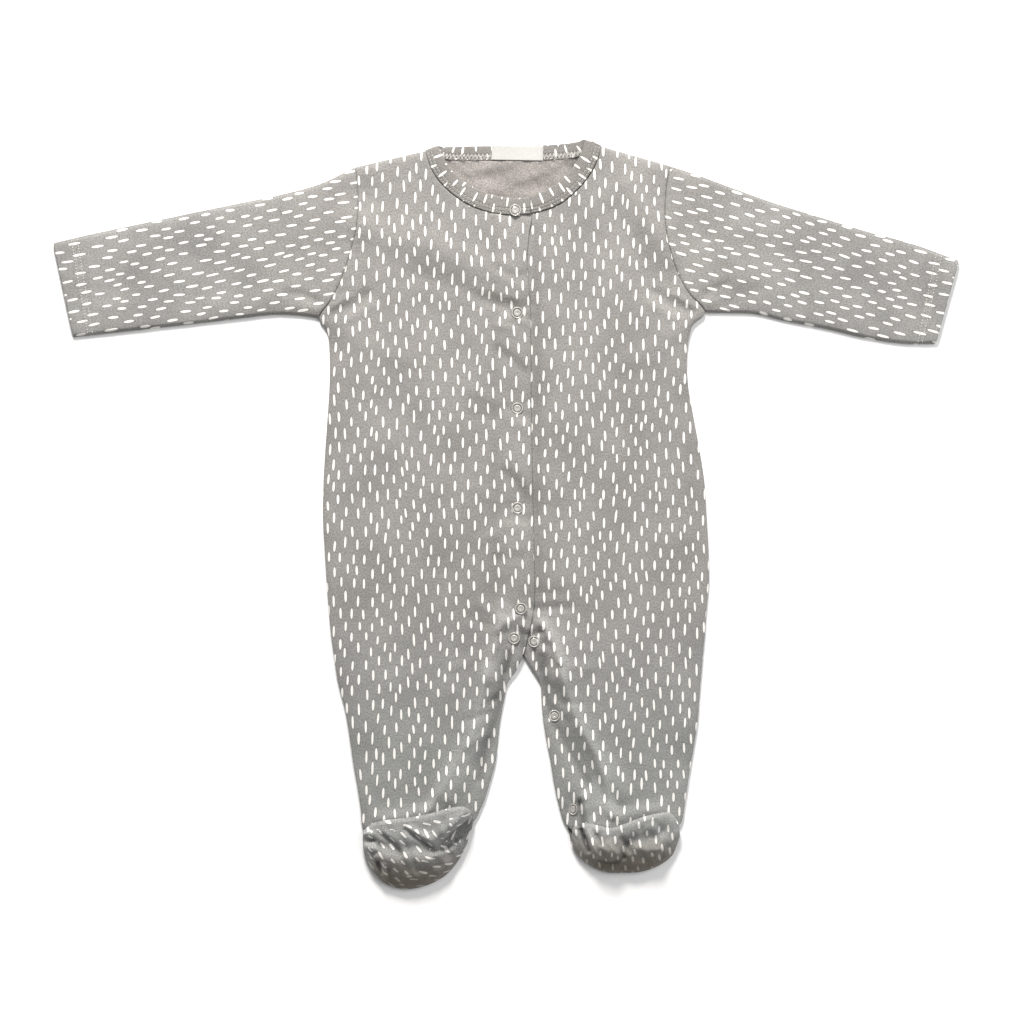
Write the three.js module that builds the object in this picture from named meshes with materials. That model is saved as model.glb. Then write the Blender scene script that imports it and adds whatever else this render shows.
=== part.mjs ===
// A footed baby sleepsuit in cotton jersey, laid flat on its back. The back panel lies on the surface, and
// the two fronts, the sleeves and the feet lie on it, as they are sewn. Sizes are in millimetres, +Z is up,
// and the neck is towards +Y. Right and left are the wearer's, so the right front is at -X. The origin is
// under the middle of the garment's outline.

import * as THREE from "three";

// Driving sizes
const WALL = 1.2; // one layer of jersey
const GAP = 0.3; // between two pieces at a seam
const NECK_GAP = 1.1; // between the fronts and the curved neckband
const SLEEVE_GAP = 1; // along X at the armhole, which runs aslant
const HEM_WALL = 1.9; // a turned hem or a folded facing
const HEM_DEPTH = 20; // of the sleeve hem
const SEAM_TOP = 2 * WALL + GAP; // top of a front where it meets the back
const PUFF_TOP = 5; // top of a front away from its seams
const ROLL = 9; // how far the roundness of a sewn edge reaches
const LAP_X = -4.5; // where the buttoned lap starts; it ends at the right front's edge
const LAP_RAMP = 9; // beside the lap, where the cloth climbs over it
const LAP_LIFT = HEM_WALL + 3 * GAP; // of the right front over the left one
const BAND_WALL = 2; // the neckband, folded double
const BAND_TOP = PUFF_TOP + 1; // top of the neckband in front
const BAND_DROPS = [2.4, 0.7]; // how much lower it starts at the shoulder, row by row
const SLEEVE_TOP = 4.8; // top of a sleeve away from its edges
const SLEEVE_EDGE = 2 * WALL + 0.5; // height of a sleeve's folded edge
const PUCKER = 1.7; // how far the lap swells between two snaps
const LAP_SWELL = 15; // how wide that swelling is
const FOOT_LAYER_GAP = 2; // between the sole and the upper of a foot
const SOLE_LOWEST = PUFF_TOP + 2 * WALL + 4 * GAP; // bottom of the sole's troughs, clear of the leg
const SOLE_FLAT = 8; // where the toe's ridge is no higher than this, the sole has no folds
const NOSE_ANGLES = [55, 20, -20, -60]; // of the sole where it turns round the toe
const BACK_INSET = 0.4; // keeps the back's edge just inside the fronts' one
const HEEL_INSET = 1.2; // of the back inside a foot's rim
const SHOULDER_CLEARANCE = 3; // of the back from the neckband at the shoulders
const SNAP_RADIUS = 4.75;
const LABEL = { width: 41, height: 11.2, wall: 0.8, x: 9.1, y: 288.4 };

// How finely the forms are divided
const FRONT_COLUMNS = [0, 0.02, 0.06, 0.16, 0.3, 0.44, 0.58, 0.7, 0.79, 0.855, 0.92, 0.975, 1];
const FRONT_ROWS_PER_SECTION = 2;
const SLEEVE_RINGS = 20;
const SLEEVE_COLUMNS = 8;
const FOOT_COLUMNS = 14;
const FOOT_ROWS = 8;
const BAND_STEPS = 3;

// The neckband in front, from the shoulder fold to the centre: its sewn edge, its free edge, and the armhole's
// point that lies opposite.
const NECK_RIGHT = [
  { seamX: -64, seamY: 290.2, freeX: -53.2, freeY: 293.6, sideX: -120.4, sideY: 277.2 },
  { seamX: -61.8, seamY: 281.5, freeX: -50.5, freeY: 286.5, sideX: -119.2, sideY: 268 },
  { seamX: -56, seamY: 269.6, freeX: -45.5, freeY: 277, sideX: -118.5, sideY: 259 },
  { seamX: -45.5, seamY: 258, freeX: -36.5, freeY: 267.6, sideX: -118.4, sideY: 250 },
  { seamX: -31, seamY: 247.8, freeX: -24, freeY: 260.2, sideX: -118.4, sideY: 242 },
  { seamX: -14, seamY: 241.2, freeX: -10, freeY: 254.6, sideX: -119, sideY: 234 },
  { seamX: 4, seamY: 238.6, freeX: 5, freeY: 252, sideX: -120, sideY: 226 },
  { seamX: 19.5, seamY: 239.4, freeX: 19.5, freeY: 252.8, sideX: -122, sideY: 218 },
];
const NECK_LEFT = [
  { seamX: 76, seamY: 293.8, freeX: 62.6, freeY: 299.4, sideX: 131.6, sideY: 278 },
  { seamX: 73.6, seamY: 284.5, freeX: 60.6, freeY: 290.5, sideX: 129.6, sideY: 270 },
  { seamX: 68, seamY: 273, freeX: 56.3, freeY: 281.5, sideX: 128.2, sideY: 262 },
  { seamX: 58.5, seamY: 260.4, freeX: 48.3, freeY: 271.3, sideX: 127.4, sideY: 253 },
  { seamX: 44, seamY: 248.4, freeX: 36.5, freeY: 261.4, sideX: 127, sideY: 244 },
  { seamX: 26, seamY: 241.2, freeX: 22, freeY: 255, sideX: 127.2, sideY: 235 },
  { seamX: 10, seamY: 239, freeX: 9, freeY: 252.3, sideX: 128, sideY: 227 },
  { seamX: -2, seamY: 239.4, freeX: -2, freeY: 252.6, sideX: 129.6, sideY: 218 },
];

// The neckband behind, from the right shoulder to the left one.
const NECK_BACK = [
  { seamX: -57.5, seamY: 284.8, freeX: -49.5, freeY: 293.4 },
  { seamX: -45, seamY: 282.8, freeX: -42, freeY: 293.6 },
  { seamX: -22, seamY: 282.4, freeX: -22, freeY: 294 },
  { seamX: 6, seamY: 282.2, freeX: 6, freeY: 294.4 },
  { seamX: 32, seamY: 282.6, freeX: 32, freeY: 295 },
  { seamX: 54, seamY: 284.4, freeX: 50, freeY: 296.4 },
  { seamX: 68, seamY: 288.4, freeX: 58, freeY: 297.8 },
];

// Each front from below the neckline to the instep: a section runs from its side to its centre edge or
// inseam. A roll of 1 says that the end is sewn to the back there and curves down to it.
const RIGHT_FRONT = [
  { sideX: -125.2, sideY: 207, edgeX: 18.2, edgeY: 222, sideRoll: 0, edgeRoll: 0 },
  { sideX: -128.4, sideY: 196, edgeX: 16.9, edgeY: 205, sideRoll: 0, edgeRoll: 0 },
  { sideX: -133, sideY: 184, edgeX: 17.6, edgeY: 190, sideRoll: 0, edgeRoll: 0 },
  { sideX: -139.5, sideY: 171.5, edgeX: 19, edgeY: 174, sideRoll: 0, edgeRoll: 0 },
  { sideX: -149.5, sideY: 156.4, edgeX: 19.5, edgeY: 160, sideRoll: 1, edgeRoll: 0 },
  { sideX: -143.2, sideY: 146, edgeX: 19.8, edgeY: 147, sideRoll: 1, edgeRoll: 0 },
  { sideX: -141.2, sideY: 124, edgeX: 20, edgeY: 126, sideRoll: 1, edgeRoll: 0 },
  { sideX: -141.4, sideY: 101, edgeX: 20, edgeY: 103, sideRoll: 1, edgeRoll: 0 },
  { sideX: -143, sideY: 76, edgeX: 20.4, edgeY: 78, sideRoll: 1, edgeRoll: 0 },
  { sideX: -144.8, sideY: 50, edgeX: 20.8, edgeY: 52, sideRoll: 1, edgeRoll: 0 },
  { sideX: -146.2, sideY: 24, edgeX: 21.2, edgeY: 26, sideRoll: 1, edgeRoll: 0 },
  { sideX: -146.6, sideY: -3, edgeX: 21.8, edgeY: 0, sideRoll: 1, edgeRoll: 0 },
  { sideX: -145.2, sideY: -30, edgeX: 22.4, edgeY: -26, sideRoll: 1, edgeRoll: 0 },
  { sideX: -143.6, sideY: -56, edgeX: 23, edgeY: -52, sideRoll: 1, edgeRoll: 0 },
  { sideX: -141.8, sideY: -80, edgeX: 22, edgeY: -76, sideRoll: 1, edgeRoll: 0 },
  { sideX: -140, sideY: -98, edgeX: 18.2, edgeY: -95, sideRoll: 1, edgeRoll: 0 },
  { sideX: -137.6, sideY: -115, edgeX: 13.7, edgeY: -113.5, sideRoll: 1, edgeRoll: 1 },
  { sideX: -135.6, sideY: -129, edgeX: 8.4, edgeY: -125.5, sideRoll: 1, edgeRoll: 1 },
  { sideX: -132.6, sideY: -142, edgeX: 1.6, edgeY: -135.5, sideRoll: 1, edgeRoll: 1 },
  { sideX: -129.4, sideY: -154, edgeX: -0.8, edgeY: -147, sideRoll: 1, edgeRoll: 1 },
  { sideX: -126.8, sideY: -168, edgeX: -3.8, edgeY: -162, sideRoll: 1, edgeRoll: 1 },
  { sideX: -124.6, sideY: -184, edgeX: -5.9, edgeY: -179, sideRoll: 1, edgeRoll: 1 },
  { sideX: -122.2, sideY: -200, edgeX: -7.6, edgeY: -196, sideRoll: 1, edgeRoll: 1 },
  { sideX: -119.2, sideY: -217, edgeX: -12.4, edgeY: -214, sideRoll: 1, edgeRoll: 1 },
  { sideX: -116.6, sideY: -234, edgeX: -18, edgeY: -231.5, sideRoll: 1, edgeRoll: 1 },
  { sideX: -114.8, sideY: -250, edgeX: -26.5, edgeY: -247.5, sideRoll: 1, edgeRoll: 1 },
  { sideX: -107.5, sideY: -259, edgeX: -38, edgeY: -258, sideRoll: 1, edgeRoll: 1 },
  { sideX: -104, sideY: -268, edgeX: -43, edgeY: -268, sideRoll: 1, edgeRoll: 1 },
];
const LEFT_FRONT = [
  { sideX: 131.8, sideY: 209, edgeX: -2, edgeY: 222, sideRoll: 0, edgeRoll: 0 },
  { sideX: 134.8, sideY: 199, edgeX: -2, edgeY: 207, sideRoll: 0, edgeRoll: 0 },
  { sideX: 139, sideY: 188.5, edgeX: -2, edgeY: 192, sideRoll: 0, edgeRoll: 0 },
  { sideX: 145.6, sideY: 177, edgeX: -2, edgeY: 177, sideRoll: 0, edgeRoll: 0 },
  { sideX: 159.4, sideY: 160.6, edgeX: -2, edgeY: 160, sideRoll: 1, edgeRoll: 0 },
  { sideX: 149.4, sideY: 150, edgeX: -2, edgeY: 147, sideRoll: 1, edgeRoll: 0 },
  { sideX: 144.8, sideY: 124, edgeX: -2, edgeY: 126, sideRoll: 1, edgeRoll: 0 },
  { sideX: 146.2, sideY: 100, edgeX: -2, edgeY: 103, sideRoll: 1, edgeRoll: 0 },
  { sideX: 150.6, sideY: 75, edgeX: -1.8, edgeY: 78, sideRoll: 1, edgeRoll: 0 },
  { sideX: 155, sideY: 51, edgeX: -1.6, edgeY: 52, sideRoll: 1, edgeRoll: 0 },
  { sideX: 158.8, sideY: 26, edgeX: -1.2, edgeY: 26, sideRoll: 1, edgeRoll: 0 },
  { sideX: 160.4, sideY: 0, edgeX: -0.8, edgeY: 0, sideRoll: 1, edgeRoll: 0 },
  { sideX: 162, sideY: -27, edgeX: -0.4, edgeY: -26, sideRoll: 1, edgeRoll: 0 },
  { sideX: 162.4, sideY: -53, edgeX: 0.6, edgeY: -52, sideRoll: 1, edgeRoll: 0 },
  { sideX: 160.6, sideY: -77, edgeX: 4, edgeY: -76, sideRoll: 1, edgeRoll: 0 },
  { sideX: 159.2, sideY: -96, edgeX: 10, edgeY: -95, sideRoll: 1, edgeRoll: 0 },
  { sideX: 157.6, sideY: -114, edgeX: 14.4, edgeY: -113.5, sideRoll: 1, edgeRoll: 1 },
  { sideX: 156.4, sideY: -128, edgeX: 21.4, edgeY: -125.5, sideRoll: 1, edgeRoll: 1 },
  { sideX: 155.4, sideY: -140, edgeX: 27.2, edgeY: -135.5, sideRoll: 1, edgeRoll: 1 },
  { sideX: 154.6, sideY: -152, edgeX: 27.9, edgeY: -147, sideRoll: 1, edgeRoll: 1 },
  { sideX: 153.4, sideY: -166, edgeX: 29, edgeY: -162, sideRoll: 1, edgeRoll: 1 },
  { sideX: 151, sideY: -182, edgeX: 31.6, edgeY: -179, sideRoll: 1, edgeRoll: 1 },
  { sideX: 148.6, sideY: -197, edgeX: 34.8, edgeY: -196, sideRoll: 1, edgeRoll: 1 },
  { sideX: 146, sideY: -213, edgeX: 37.8, edgeY: -214, sideRoll: 1, edgeRoll: 1 },
  { sideX: 143.4, sideY: -230, edgeX: 41.6, edgeY: -231.5, sideRoll: 1, edgeRoll: 1 },
  { sideX: 140.6, sideY: -246, edgeX: 47, edgeY: -247.5, sideRoll: 1, edgeRoll: 1 },
  { sideX: 133.5, sideY: -255, edgeX: 57, edgeY: -257, sideRoll: 1, edgeRoll: 1 },
  { sideX: 130, sideY: -263, edgeX: 63, edgeY: -263, sideRoll: 1, edgeRoll: 1 },
];
const CROTCH_SECTION = 16; // the row of both tables at which the legs part
const UNDERARM_SECTION = NECK_RIGHT.length + 4; // counted from the shoulder

// Each sleeve from the armhole to the cuff: the fold along its top and the seam under the arm.
const RIGHT_SLEEVE = [
  { topX: -120.8, topY: 277.6, underX: -149.9, underY: 156.6 },
  { topX: -149, topY: 264, underX: -166, underY: 158.6 },
  { topX: -178, topY: 255.8, underX: -186, underY: 159.2 },
  { topX: -216, topY: 247.8, underX: -214, underY: 156 },
  { topX: -255, topY: 239.8, underX: -248, underY: 152 },
  { topX: -293, topY: 231.8, underX: -284, underY: 148 },
  { topX: -330, topY: 224, underX: -318, underY: 144.2 },
  { topX: -362, topY: 216.6, underX: -345.6, underY: 141.2 },
];
const LEFT_SLEEVE = [
  { topX: 132, topY: 278.4, underX: 159.8, underY: 160.8 },
  { topX: 152, topY: 271.6, underX: 179, underY: 160.6 },
  { topX: 178, topY: 261.8, underX: 200, underY: 159.6 },
  { topX: 212, topY: 249.4, underX: 222, underY: 154.4 },
  { topX: 250, topY: 237.6, underX: 256, underY: 147.8 },
  { topX: 288, topY: 226, underX: 288, underY: 140.4 },
  { topX: 326, topY: 215.6, underX: 318, underY: 136 },
  { topX: 362, topY: 202.4, underX: 343.4, underY: 135.8 },
];
const ARMHOLE_FADE = 0.35; // share of the sleeve over which the armhole's curve straightens

// Each foot across: the heel's rim on the surface, and the toe's ridge, which flops forward over the leg.
const RIGHT_FOOT = [
  { rimX: -114.6, rimY: -261, ridgeX: -114.4, ridgeY: -255, ridgeZ: 9 },
  { rimX: -113.8, rimY: -270, ridgeX: -107, ridgeY: -250, ridgeZ: 13 },
  { rimX: -108.6, rimY: -283, ridgeX: -97.5, ridgeY: -247.4, ridgeZ: 19 },
  { rimX: -98, rimY: -295, ridgeX: -85, ridgeY: -245.6, ridgeZ: 22 },
  { rimX: -81.5, rimY: -300.4, ridgeX: -72, ridgeY: -244, ridgeZ: 23 },
  { rimX: -64, rimY: -297.6, ridgeX: -58, ridgeY: -241, ridgeZ: 23 },
  { rimX: -48.5, rimY: -289.5, ridgeX: -45, ridgeY: -237.4, ridgeZ: 21 },
  { rimX: -38, rimY: -277.5, ridgeX: -33.5, ridgeY: -236.6, ridgeZ: 15 },
  { rimX: -30.6, rimY: -263, ridgeX: -25.4, ridgeY: -244, ridgeZ: 9 },
];
const LEFT_FOOT = [
  { rimX: 51.6, rimY: -262, ridgeX: 52.6, ridgeY: -253, ridgeZ: 9 },
  { rimX: 56, rimY: -271.5, ridgeX: 61, ridgeY: -250, ridgeZ: 13 },
  { rimX: 66, rimY: -280.5, ridgeX: 71.5, ridgeY: -251.4, ridgeZ: 18 },
  { rimX: 79, rimY: -286.4, ridgeX: 83, ridgeY: -253.4, ridgeZ: 20 },
  { rimX: 94, rimY: -287.2, ridgeX: 96, ridgeY: -249.4, ridgeZ: 21 },
  { rimX: 109, rimY: -286.2, ridgeX: 109, ridgeY: -244.6, ridgeZ: 21.5 },
  { rimX: 122.5, rimY: -281.2, ridgeX: 121.5, ridgeY: -241.8, ridgeZ: 19 },
  { rimX: 133, rimY: -273, ridgeX: 131, ridgeY: -242, ridgeZ: 13 },
  { rimX: 139.2, rimY: -258, ridgeX: 138.6, ridgeY: -249.6, ridgeZ: 9 },
];
const FOOT_PROFILE = [
  { along: 0, rise: 0 },
  { along: 0.1, rise: 0.2 },
  { along: 0.3, rise: 0.33 },
  { along: 0.55, rise: 0.5 },
  { along: 0.8, rise: 0.78 },
  { along: 0.93, rise: 0.96 },
  { along: 1, rise: 1 },
];
const INSTEP = 0.55; // how far from rim to ridge the upper starts

// The snaps, on the neckband, down the lap, at the crotch and down the left inseam.
const SNAPS = [
  { name: "snap_neck", x: 7.4, y: 244.6 },
  { name: "snap_chest", x: 9, y: 160.4 },
  { name: "snap_waist", x: 9, y: 84.2 },
  { name: "snap_belly", x: 9.2, y: 4.6 },
  { name: "snap_seat", x: 11.8, y: -75.6 },
  { name: "snap_crotch_right", x: 6.4, y: -99.3 },
  { name: "snap_crotch_left", x: 22.4, y: -102 },
  { name: "snap_thigh", x: 38.6, y: -161.4 },
  { name: "snap_ankle", x: 53.4, y: -236 },
];
const LAP_SNAPS = 5; // the rows above that close the lap

// The largest folds. Each runs along its path, dies out at both ends, and rises or sinks by its rise.
const FOLDS = [
  { path: [[-112, 228], [-60, 212], [-5, 190], [10, 176]], half: 13, rise: 2.3 },
  { path: [[-70, 190], [-25, 178], [4, 166]], half: 8, rise: -1.6 },
  { path: [[-112, 258], [-96, 226]], half: 13, rise: -1.8 },
  { path: [[96, 262], [112, 236], [130, 205]], half: 9, rise: 2 },
  { path: [[86, 240], [104, 216], [118, 184]], half: 9, rise: -1.6 },
  { path: [[-136, 150], [-112, 132], [-78, 124]], half: 9, rise: 1.4 },
  { path: [[140, 150], [118, 128], [92, 120]], half: 9, rise: 1.4 },
  { path: [[-4, -78], [-12, -100], [-14, -130]], half: 8, rise: 2.6 },
  { path: [[-14, -130], [-20, -170], [-34, -206], [-46, -226]], half: 9, rise: 3.2 },
  { path: [[-8, -150], [-9, -175], [-20, -200]], half: 6, rise: -1.8 },
  { path: [[30, -86], [42, -104], [46, -132]], half: 8, rise: 2.8 },
  { path: [[46, -132], [58, -168], [78, -200], [92, -222]], half: 10, rise: 3.4 },
  { path: [[36, -140], [48, -176], [66, -206], [84, -226]], half: 7, rise: -2 },
  { path: [[22, -68], [44, -66]], half: 6, rise: -1.4 },
  { path: [[60, -222], [72, -240], [78, -256]], half: 8, rise: 2.4 },
  { path: [[-168, 178], [-196, 170], [-232, 166]], half: 9, rise: 1.2 },
  { path: [[152, 246], [176, 232], [214, 226]], half: 10, rise: 1 },
  { path: [[172, 172], [200, 178]], half: 7, rise: -1.2 },
  { path: [[-240, 224], [-300, 206]], half: 14, rise: 0.8 },
  { path: [[236, 216], [300, 196]], half: 14, rise: 0.8 },
];
// Crumples of the soles, with the same columns.
const SOLE_FOLDS = [
  { path: [[-106, -262], [-84, -267], [-52, -262]], half: 5, rise: -2.6 },
  { path: [[-96, -277], [-76, -274], [-60, -278]], half: 6, rise: 2 },
  { path: [[-27, -245], [-37, -254], [-50, -264]], half: 5, rise: -7 },
  { path: [[68, -268], [80, -262], [92, -264]], half: 6, rise: 2.4 },
  { path: [[86, -258], [104, -262], [122, -260]], half: 6, rise: -2.4 },
  { path: [[118, -272], [128, -262]], half: 5, rise: 1.8 },
  { path: [[84, -268], [80, -266]], half: 7, rise: 2.6 },
];

// Small helpers
const vector = (x, y, z = 0) => new THREE.Vector3(x, y, z);
const clamp01 = (t) => Math.min(1, Math.max(0, t));
const smooth = (t) => clamp01(t) ** 2 * (3 - 2 * clamp01(t));
const splineThrough = (points) => new THREE.CatmullRomCurve3(points, false, "centripetal");
const rounded = (distance, reach = ROLL) => Math.sqrt(1 - (1 - clamp01(distance / reach)) ** 2);

// The value of a table's column at t, from 0 at its first row to 1 at its last.
function columnAt(table, column, t) {
  const at = clamp01(t) * (table.length - 1);
  const row = Math.min(Math.floor(at), table.length - 2);
  return THREE.MathUtils.lerp(table[row][column], table[row + 1][column], at - row);
}

// A height from a table of along and rise.
function profileAt(table, along) {
  const next = Math.max(1, table.findIndex((row) => row.along >= along));
  const [a, b] = [table[next - 1], table[next]];
  return THREE.MathUtils.mapLinear(along, a.along, b.along, a.rise, b.rise);
}

// How much the folds of a table raise the cloth at a point.
function foldRise(folds, x, y) {
  let total = 0;
  for (const { path, half, rise } of folds) {
    let nearest = Infinity;
    for (let i = 1; i < path.length; i += 1) {
      const [[ax, ay], [bx, by]] = [path[i - 1], path[i]];
      const length2 = (bx - ax) ** 2 + (by - ay) ** 2;
      const t = clamp01(((x - ax) * (bx - ax) + (y - ay) * (by - ay)) / length2);
      nearest = Math.min(nearest, Math.hypot(x - ax - t * (bx - ax), y - ay - t * (by - ay)));
    }
    total += rise * Math.exp(-((nearest / half) ** 2));
  }
  return total;
}

// The lap swells between its snaps.
function puckerRise(x, y) {
  const onLap = SNAPS.slice(0, LAP_SNAPS);
  const below = onLap.findIndex((snap) => snap.y < y);
  if (below < 1) return 0;
  const share = (y - onLap[below].y) / (onLap[below - 1].y - onLap[below].y);
  return PUCKER * Math.sin(Math.PI * share) ** 2 * Math.exp(-(((x - onLap[below].x) / LAP_SWELL) ** 2));
}

const relief = (x, y) => foldRise(FOLDS, x, y) + puckerRise(x, y);

// Solids
function geometryOf(points, triangles) {
  const geometry = new THREE.BufferGeometry();
  const flat = points.flatMap((p) => [p.x, p.y, p.z]);
  geometry.setAttribute("position", new THREE.Float32BufferAttribute(flat, 3));
  geometry.setIndex(triangles);
  return geometry;
}

// Turns a closed surface to face outwards.
function facingOut(points, triangles) {
  let volume = 0;
  for (let i = 0; i < triangles.length; i += 3) {
    const [a, b, c] = [points[triangles[i]], points[triangles[i + 1]], points[triangles[i + 2]]];
    volume += a.dot(b.clone().cross(c));
  }
  if (volume < 0) triangles.reverse();
  return geometryOf(points, triangles);
}

// The unit normal of a grid of points at one of them.
function gridNormal(grid, r, c) {
  const rows = grid.length - 1;
  const columns = grid[0].length - 1;
  const along = grid[Math.min(r + 1, rows)][c].clone().sub(grid[Math.max(r - 1, 0)][c]);
  const across = grid[r][Math.min(c + 1, columns)].clone().sub(grid[r][Math.max(c - 1, 0)]);
  return along.cross(across).normalize();
}

// A wall between two grids of the same size, closed round its border.
function wallBetween(outer, inner) {
  const rows = outer.length;
  const columns = outer[0].length;
  const points = [...outer.flat(), ...inner.flat()];
  const index = (layer, r, c) => (layer * rows + r) * columns + c;
  const triangles = [];
  const quad = (a, b, c, d) => triangles.push(a, b, c, a, c, d);
  for (let r = 0; r + 1 < rows; r += 1) {
    for (let c = 0; c + 1 < columns; c += 1) {
      quad(index(0, r, c), index(0, r, c + 1), index(0, r + 1, c + 1), index(0, r + 1, c));
      quad(index(1, r, c), index(1, r + 1, c), index(1, r + 1, c + 1), index(1, r, c + 1));
    }
    quad(index(0, r, 0), index(0, r + 1, 0), index(1, r + 1, 0), index(1, r, 0));
    const last = columns - 1;
    quad(index(0, r, last), index(1, r, last), index(1, r + 1, last), index(0, r + 1, last));
  }
  for (let c = 0; c + 1 < columns; c += 1) {
    quad(index(0, 0, c), index(1, 0, c), index(1, 0, c + 1), index(0, 0, c + 1));
    const last = rows - 1;
    quad(index(0, last, c), index(0, last, c + 1), index(1, last, c + 1), index(1, last, c));
  }
  return facingOut(points, triangles);
}

// A wall under a grid of points on its upper face. The grid's normals point up if its rows run down from the
// neck and its columns run from the side at -X. For the other way round, flip turns them.
function sheet(grid, wallAt, flip = false) {
  const sign = flip ? 1 : -1;
  const inner = grid.map((row, r) =>
    row.map((p, c) => p.clone().addScaledVector(gridNormal(grid, r, c), sign * wallAt(r, c))),
  );
  return wallBetween(grid, inner);
}

// A tube with both ends open, from rings of outer and inner points.
function openTube(outer, inner) {
  const rings = outer.length;
  const around = outer[0].length;
  const points = [...outer.flat(), ...inner.flat()];
  const index = (layer, r, c) => (layer * rings + r) * around + (c % around);
  const triangles = [];
  const quad = (a, b, c, d) => triangles.push(a, b, c, a, c, d);
  for (let c = 0; c < around; c += 1) {
    for (let r = 0; r + 1 < rings; r += 1) {
      quad(index(0, r, c), index(0, r, c + 1), index(0, r + 1, c + 1), index(0, r + 1, c));
      quad(index(1, r, c), index(1, r + 1, c), index(1, r + 1, c + 1), index(1, r, c + 1));
    }
    quad(index(0, 0, c), index(1, 0, c), index(1, 0, c + 1), index(0, 0, c + 1));
    const end = rings - 1;
    quad(index(0, end, c), index(0, end, c + 1), index(1, end, c + 1), index(1, end, c));
  }
  return facingOut(points, triangles);
}

// Fronts
// A point moved along the line from one end towards the other and past it.
function movedPast(fromX, fromY, toX, toY, by) {
  const way = vector(toX - fromX, toY - fromY).setLength(by);
  return vector(toX + way.x, toY + way.y);
}

// The sections of a front, neckline first.
function frontSections(neck, rows) {
  return [
    ...neck.map((n) => {
      const edge = movedPast(n.freeX, n.freeY, n.seamX, n.seamY, NECK_GAP);
      return { sideX: n.sideX, sideY: n.sideY, edgeX: edge.x, edgeY: edge.y, sideRoll: 0, edgeRoll: 0 };
    }),
    ...rows,
  ];
}

// The upper face of a front: a grid of points, and the share of the lap's thickness at each.
function frontGrid(sections, lapped) {
  const side = splineThrough(sections.map((s) => vector(s.sideX, s.sideY)));
  const edge = splineThrough(sections.map((s) => vector(s.edgeX, s.edgeY)));
  const rows = (sections.length - 1) * FRONT_ROWS_PER_SECTION;
  const crotch = (NECK_RIGHT.length + CROTCH_SECTION) * FRONT_ROWS_PER_SECTION;
  const grid = [];
  const laps = [];
  let shoulder = null;
  for (let r = 0; r <= rows; r += 1) {
    const t = r / rows;
    const [a, b] = [side.getPoint(t), edge.getPoint(t)];
    const width = a.distanceTo(b);
    const sideRoll = columnAt(sections, "sideRoll", t);
    const edgeRoll = columnAt(sections, "edgeRoll", t);
    const closing = smooth((crotch + 3 - r) / 3); // the lap ends below the crotch
    const row = [];
    const lapRow = [];
    FRONT_COLUMNS.forEach((s, c) => {
      const p = a.clone().lerp(b, s);
      const fromEdge = (1 - s) * width;
      const lap = lapped ? closing * smooth((p.x - LAP_X + LAP_RAMP) / LAP_RAMP) : 0;
      const fromShoulder = shoulder ? p.distanceTo(shoulder[c]) : 0;
      const fall =
        rounded(fromShoulder) *
        THREE.MathUtils.lerp(1, rounded(s * width), sideRoll) *
        THREE.MathUtils.lerp(1, rounded(fromEdge), edgeRoll);
      p.z = SEAM_TOP + Math.max(0, fall * (PUFF_TOP - SEAM_TOP + relief(p.x, p.y))) + lap * LAP_LIFT;
      row.push(p);
      lapRow.push(lap);
    });
    shoulder = shoulder || row.map((p) => vector(p.x, p.y));
    grid.push(row);
    laps.push(lapRow);
  }
  return { grid, laps };
}

function front(sections, lapped, flip) {
  const { grid, laps } = frontGrid(sections, lapped);
  return sheet(grid, (r, c) => THREE.MathUtils.lerp(WALL, HEM_WALL, laps[r][c]), flip);
}

// Back
// The flat outline that the fronts, the neckband and the heels leave for the back.
function backOutline(rightSections, leftSections) {
  const alongSide = (sections, x, y) => splineThrough(sections.map((s) => vector(s[x], s[y])));
  const down = (sections, x, y) => alongSide(sections, x, y).getSpacedPoints(44);
  const heelRim = (foot) => splineThrough(foot.map((f) => vector(f.rimX, f.rimY + HEEL_INSET)));
  const heel = (foot) => heelRim(foot).getSpacedPoints(12);
  const until = (points, limitY) => points.filter((p) => p.y > limitY);
  const rightSide = until(down(rightSections, "sideX", "sideY"), -254);
  const leftSide = until(down(leftSections, "sideX", "sideY"), -252);
  const legs = (sections) => sections.slice(NECK_RIGHT.length + CROTCH_SECTION);
  const rightInseam = until(down(legs(rightSections), "edgeX", "edgeY"), -250);
  const leftInseam = until(down(legs(leftSections), "edgeX", "edgeY"), -250);
  const clearOf = (n, by) => movedPast(n.freeX, n.freeY, n.seamX, n.seamY, by);
  const lastBehind = NECK_BACK.length - 1;
  const behind = NECK_BACK.map((n, i) => clearOf(n, i % lastBehind ? 2 * GAP : SHOULDER_CLEARANCE));
  const [leftEnd, rightEnd] = [NECK_LEFT[0], NECK_RIGHT[0]].map((n) => clearOf(n, SHOULDER_CLEARANCE));
  const neck = [leftEnd, ...behind.reverse(), rightEnd];
  return [
    ...rightSide.map((p) => vector(p.x + BACK_INSET, p.y)),
    ...heel(RIGHT_FOOT),
    ...rightInseam.reverse().map((p) => vector(p.x - BACK_INSET, p.y)),
    ...leftInseam.slice(1).map((p) => vector(p.x + BACK_INSET, p.y)),
    ...heel(LEFT_FOOT),
    ...leftSide.reverse().map((p) => vector(p.x - BACK_INSET, p.y)),
    ...neck,
  ];
}

function back(rightSections, leftSections) {
  const outline = backOutline(rightSections, leftSections).map((p) => new THREE.Vector2(p.x, p.y));
  return new THREE.ExtrudeGeometry(new THREE.Shape(outline), { depth: WALL, bevelEnabled: false });
}

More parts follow.
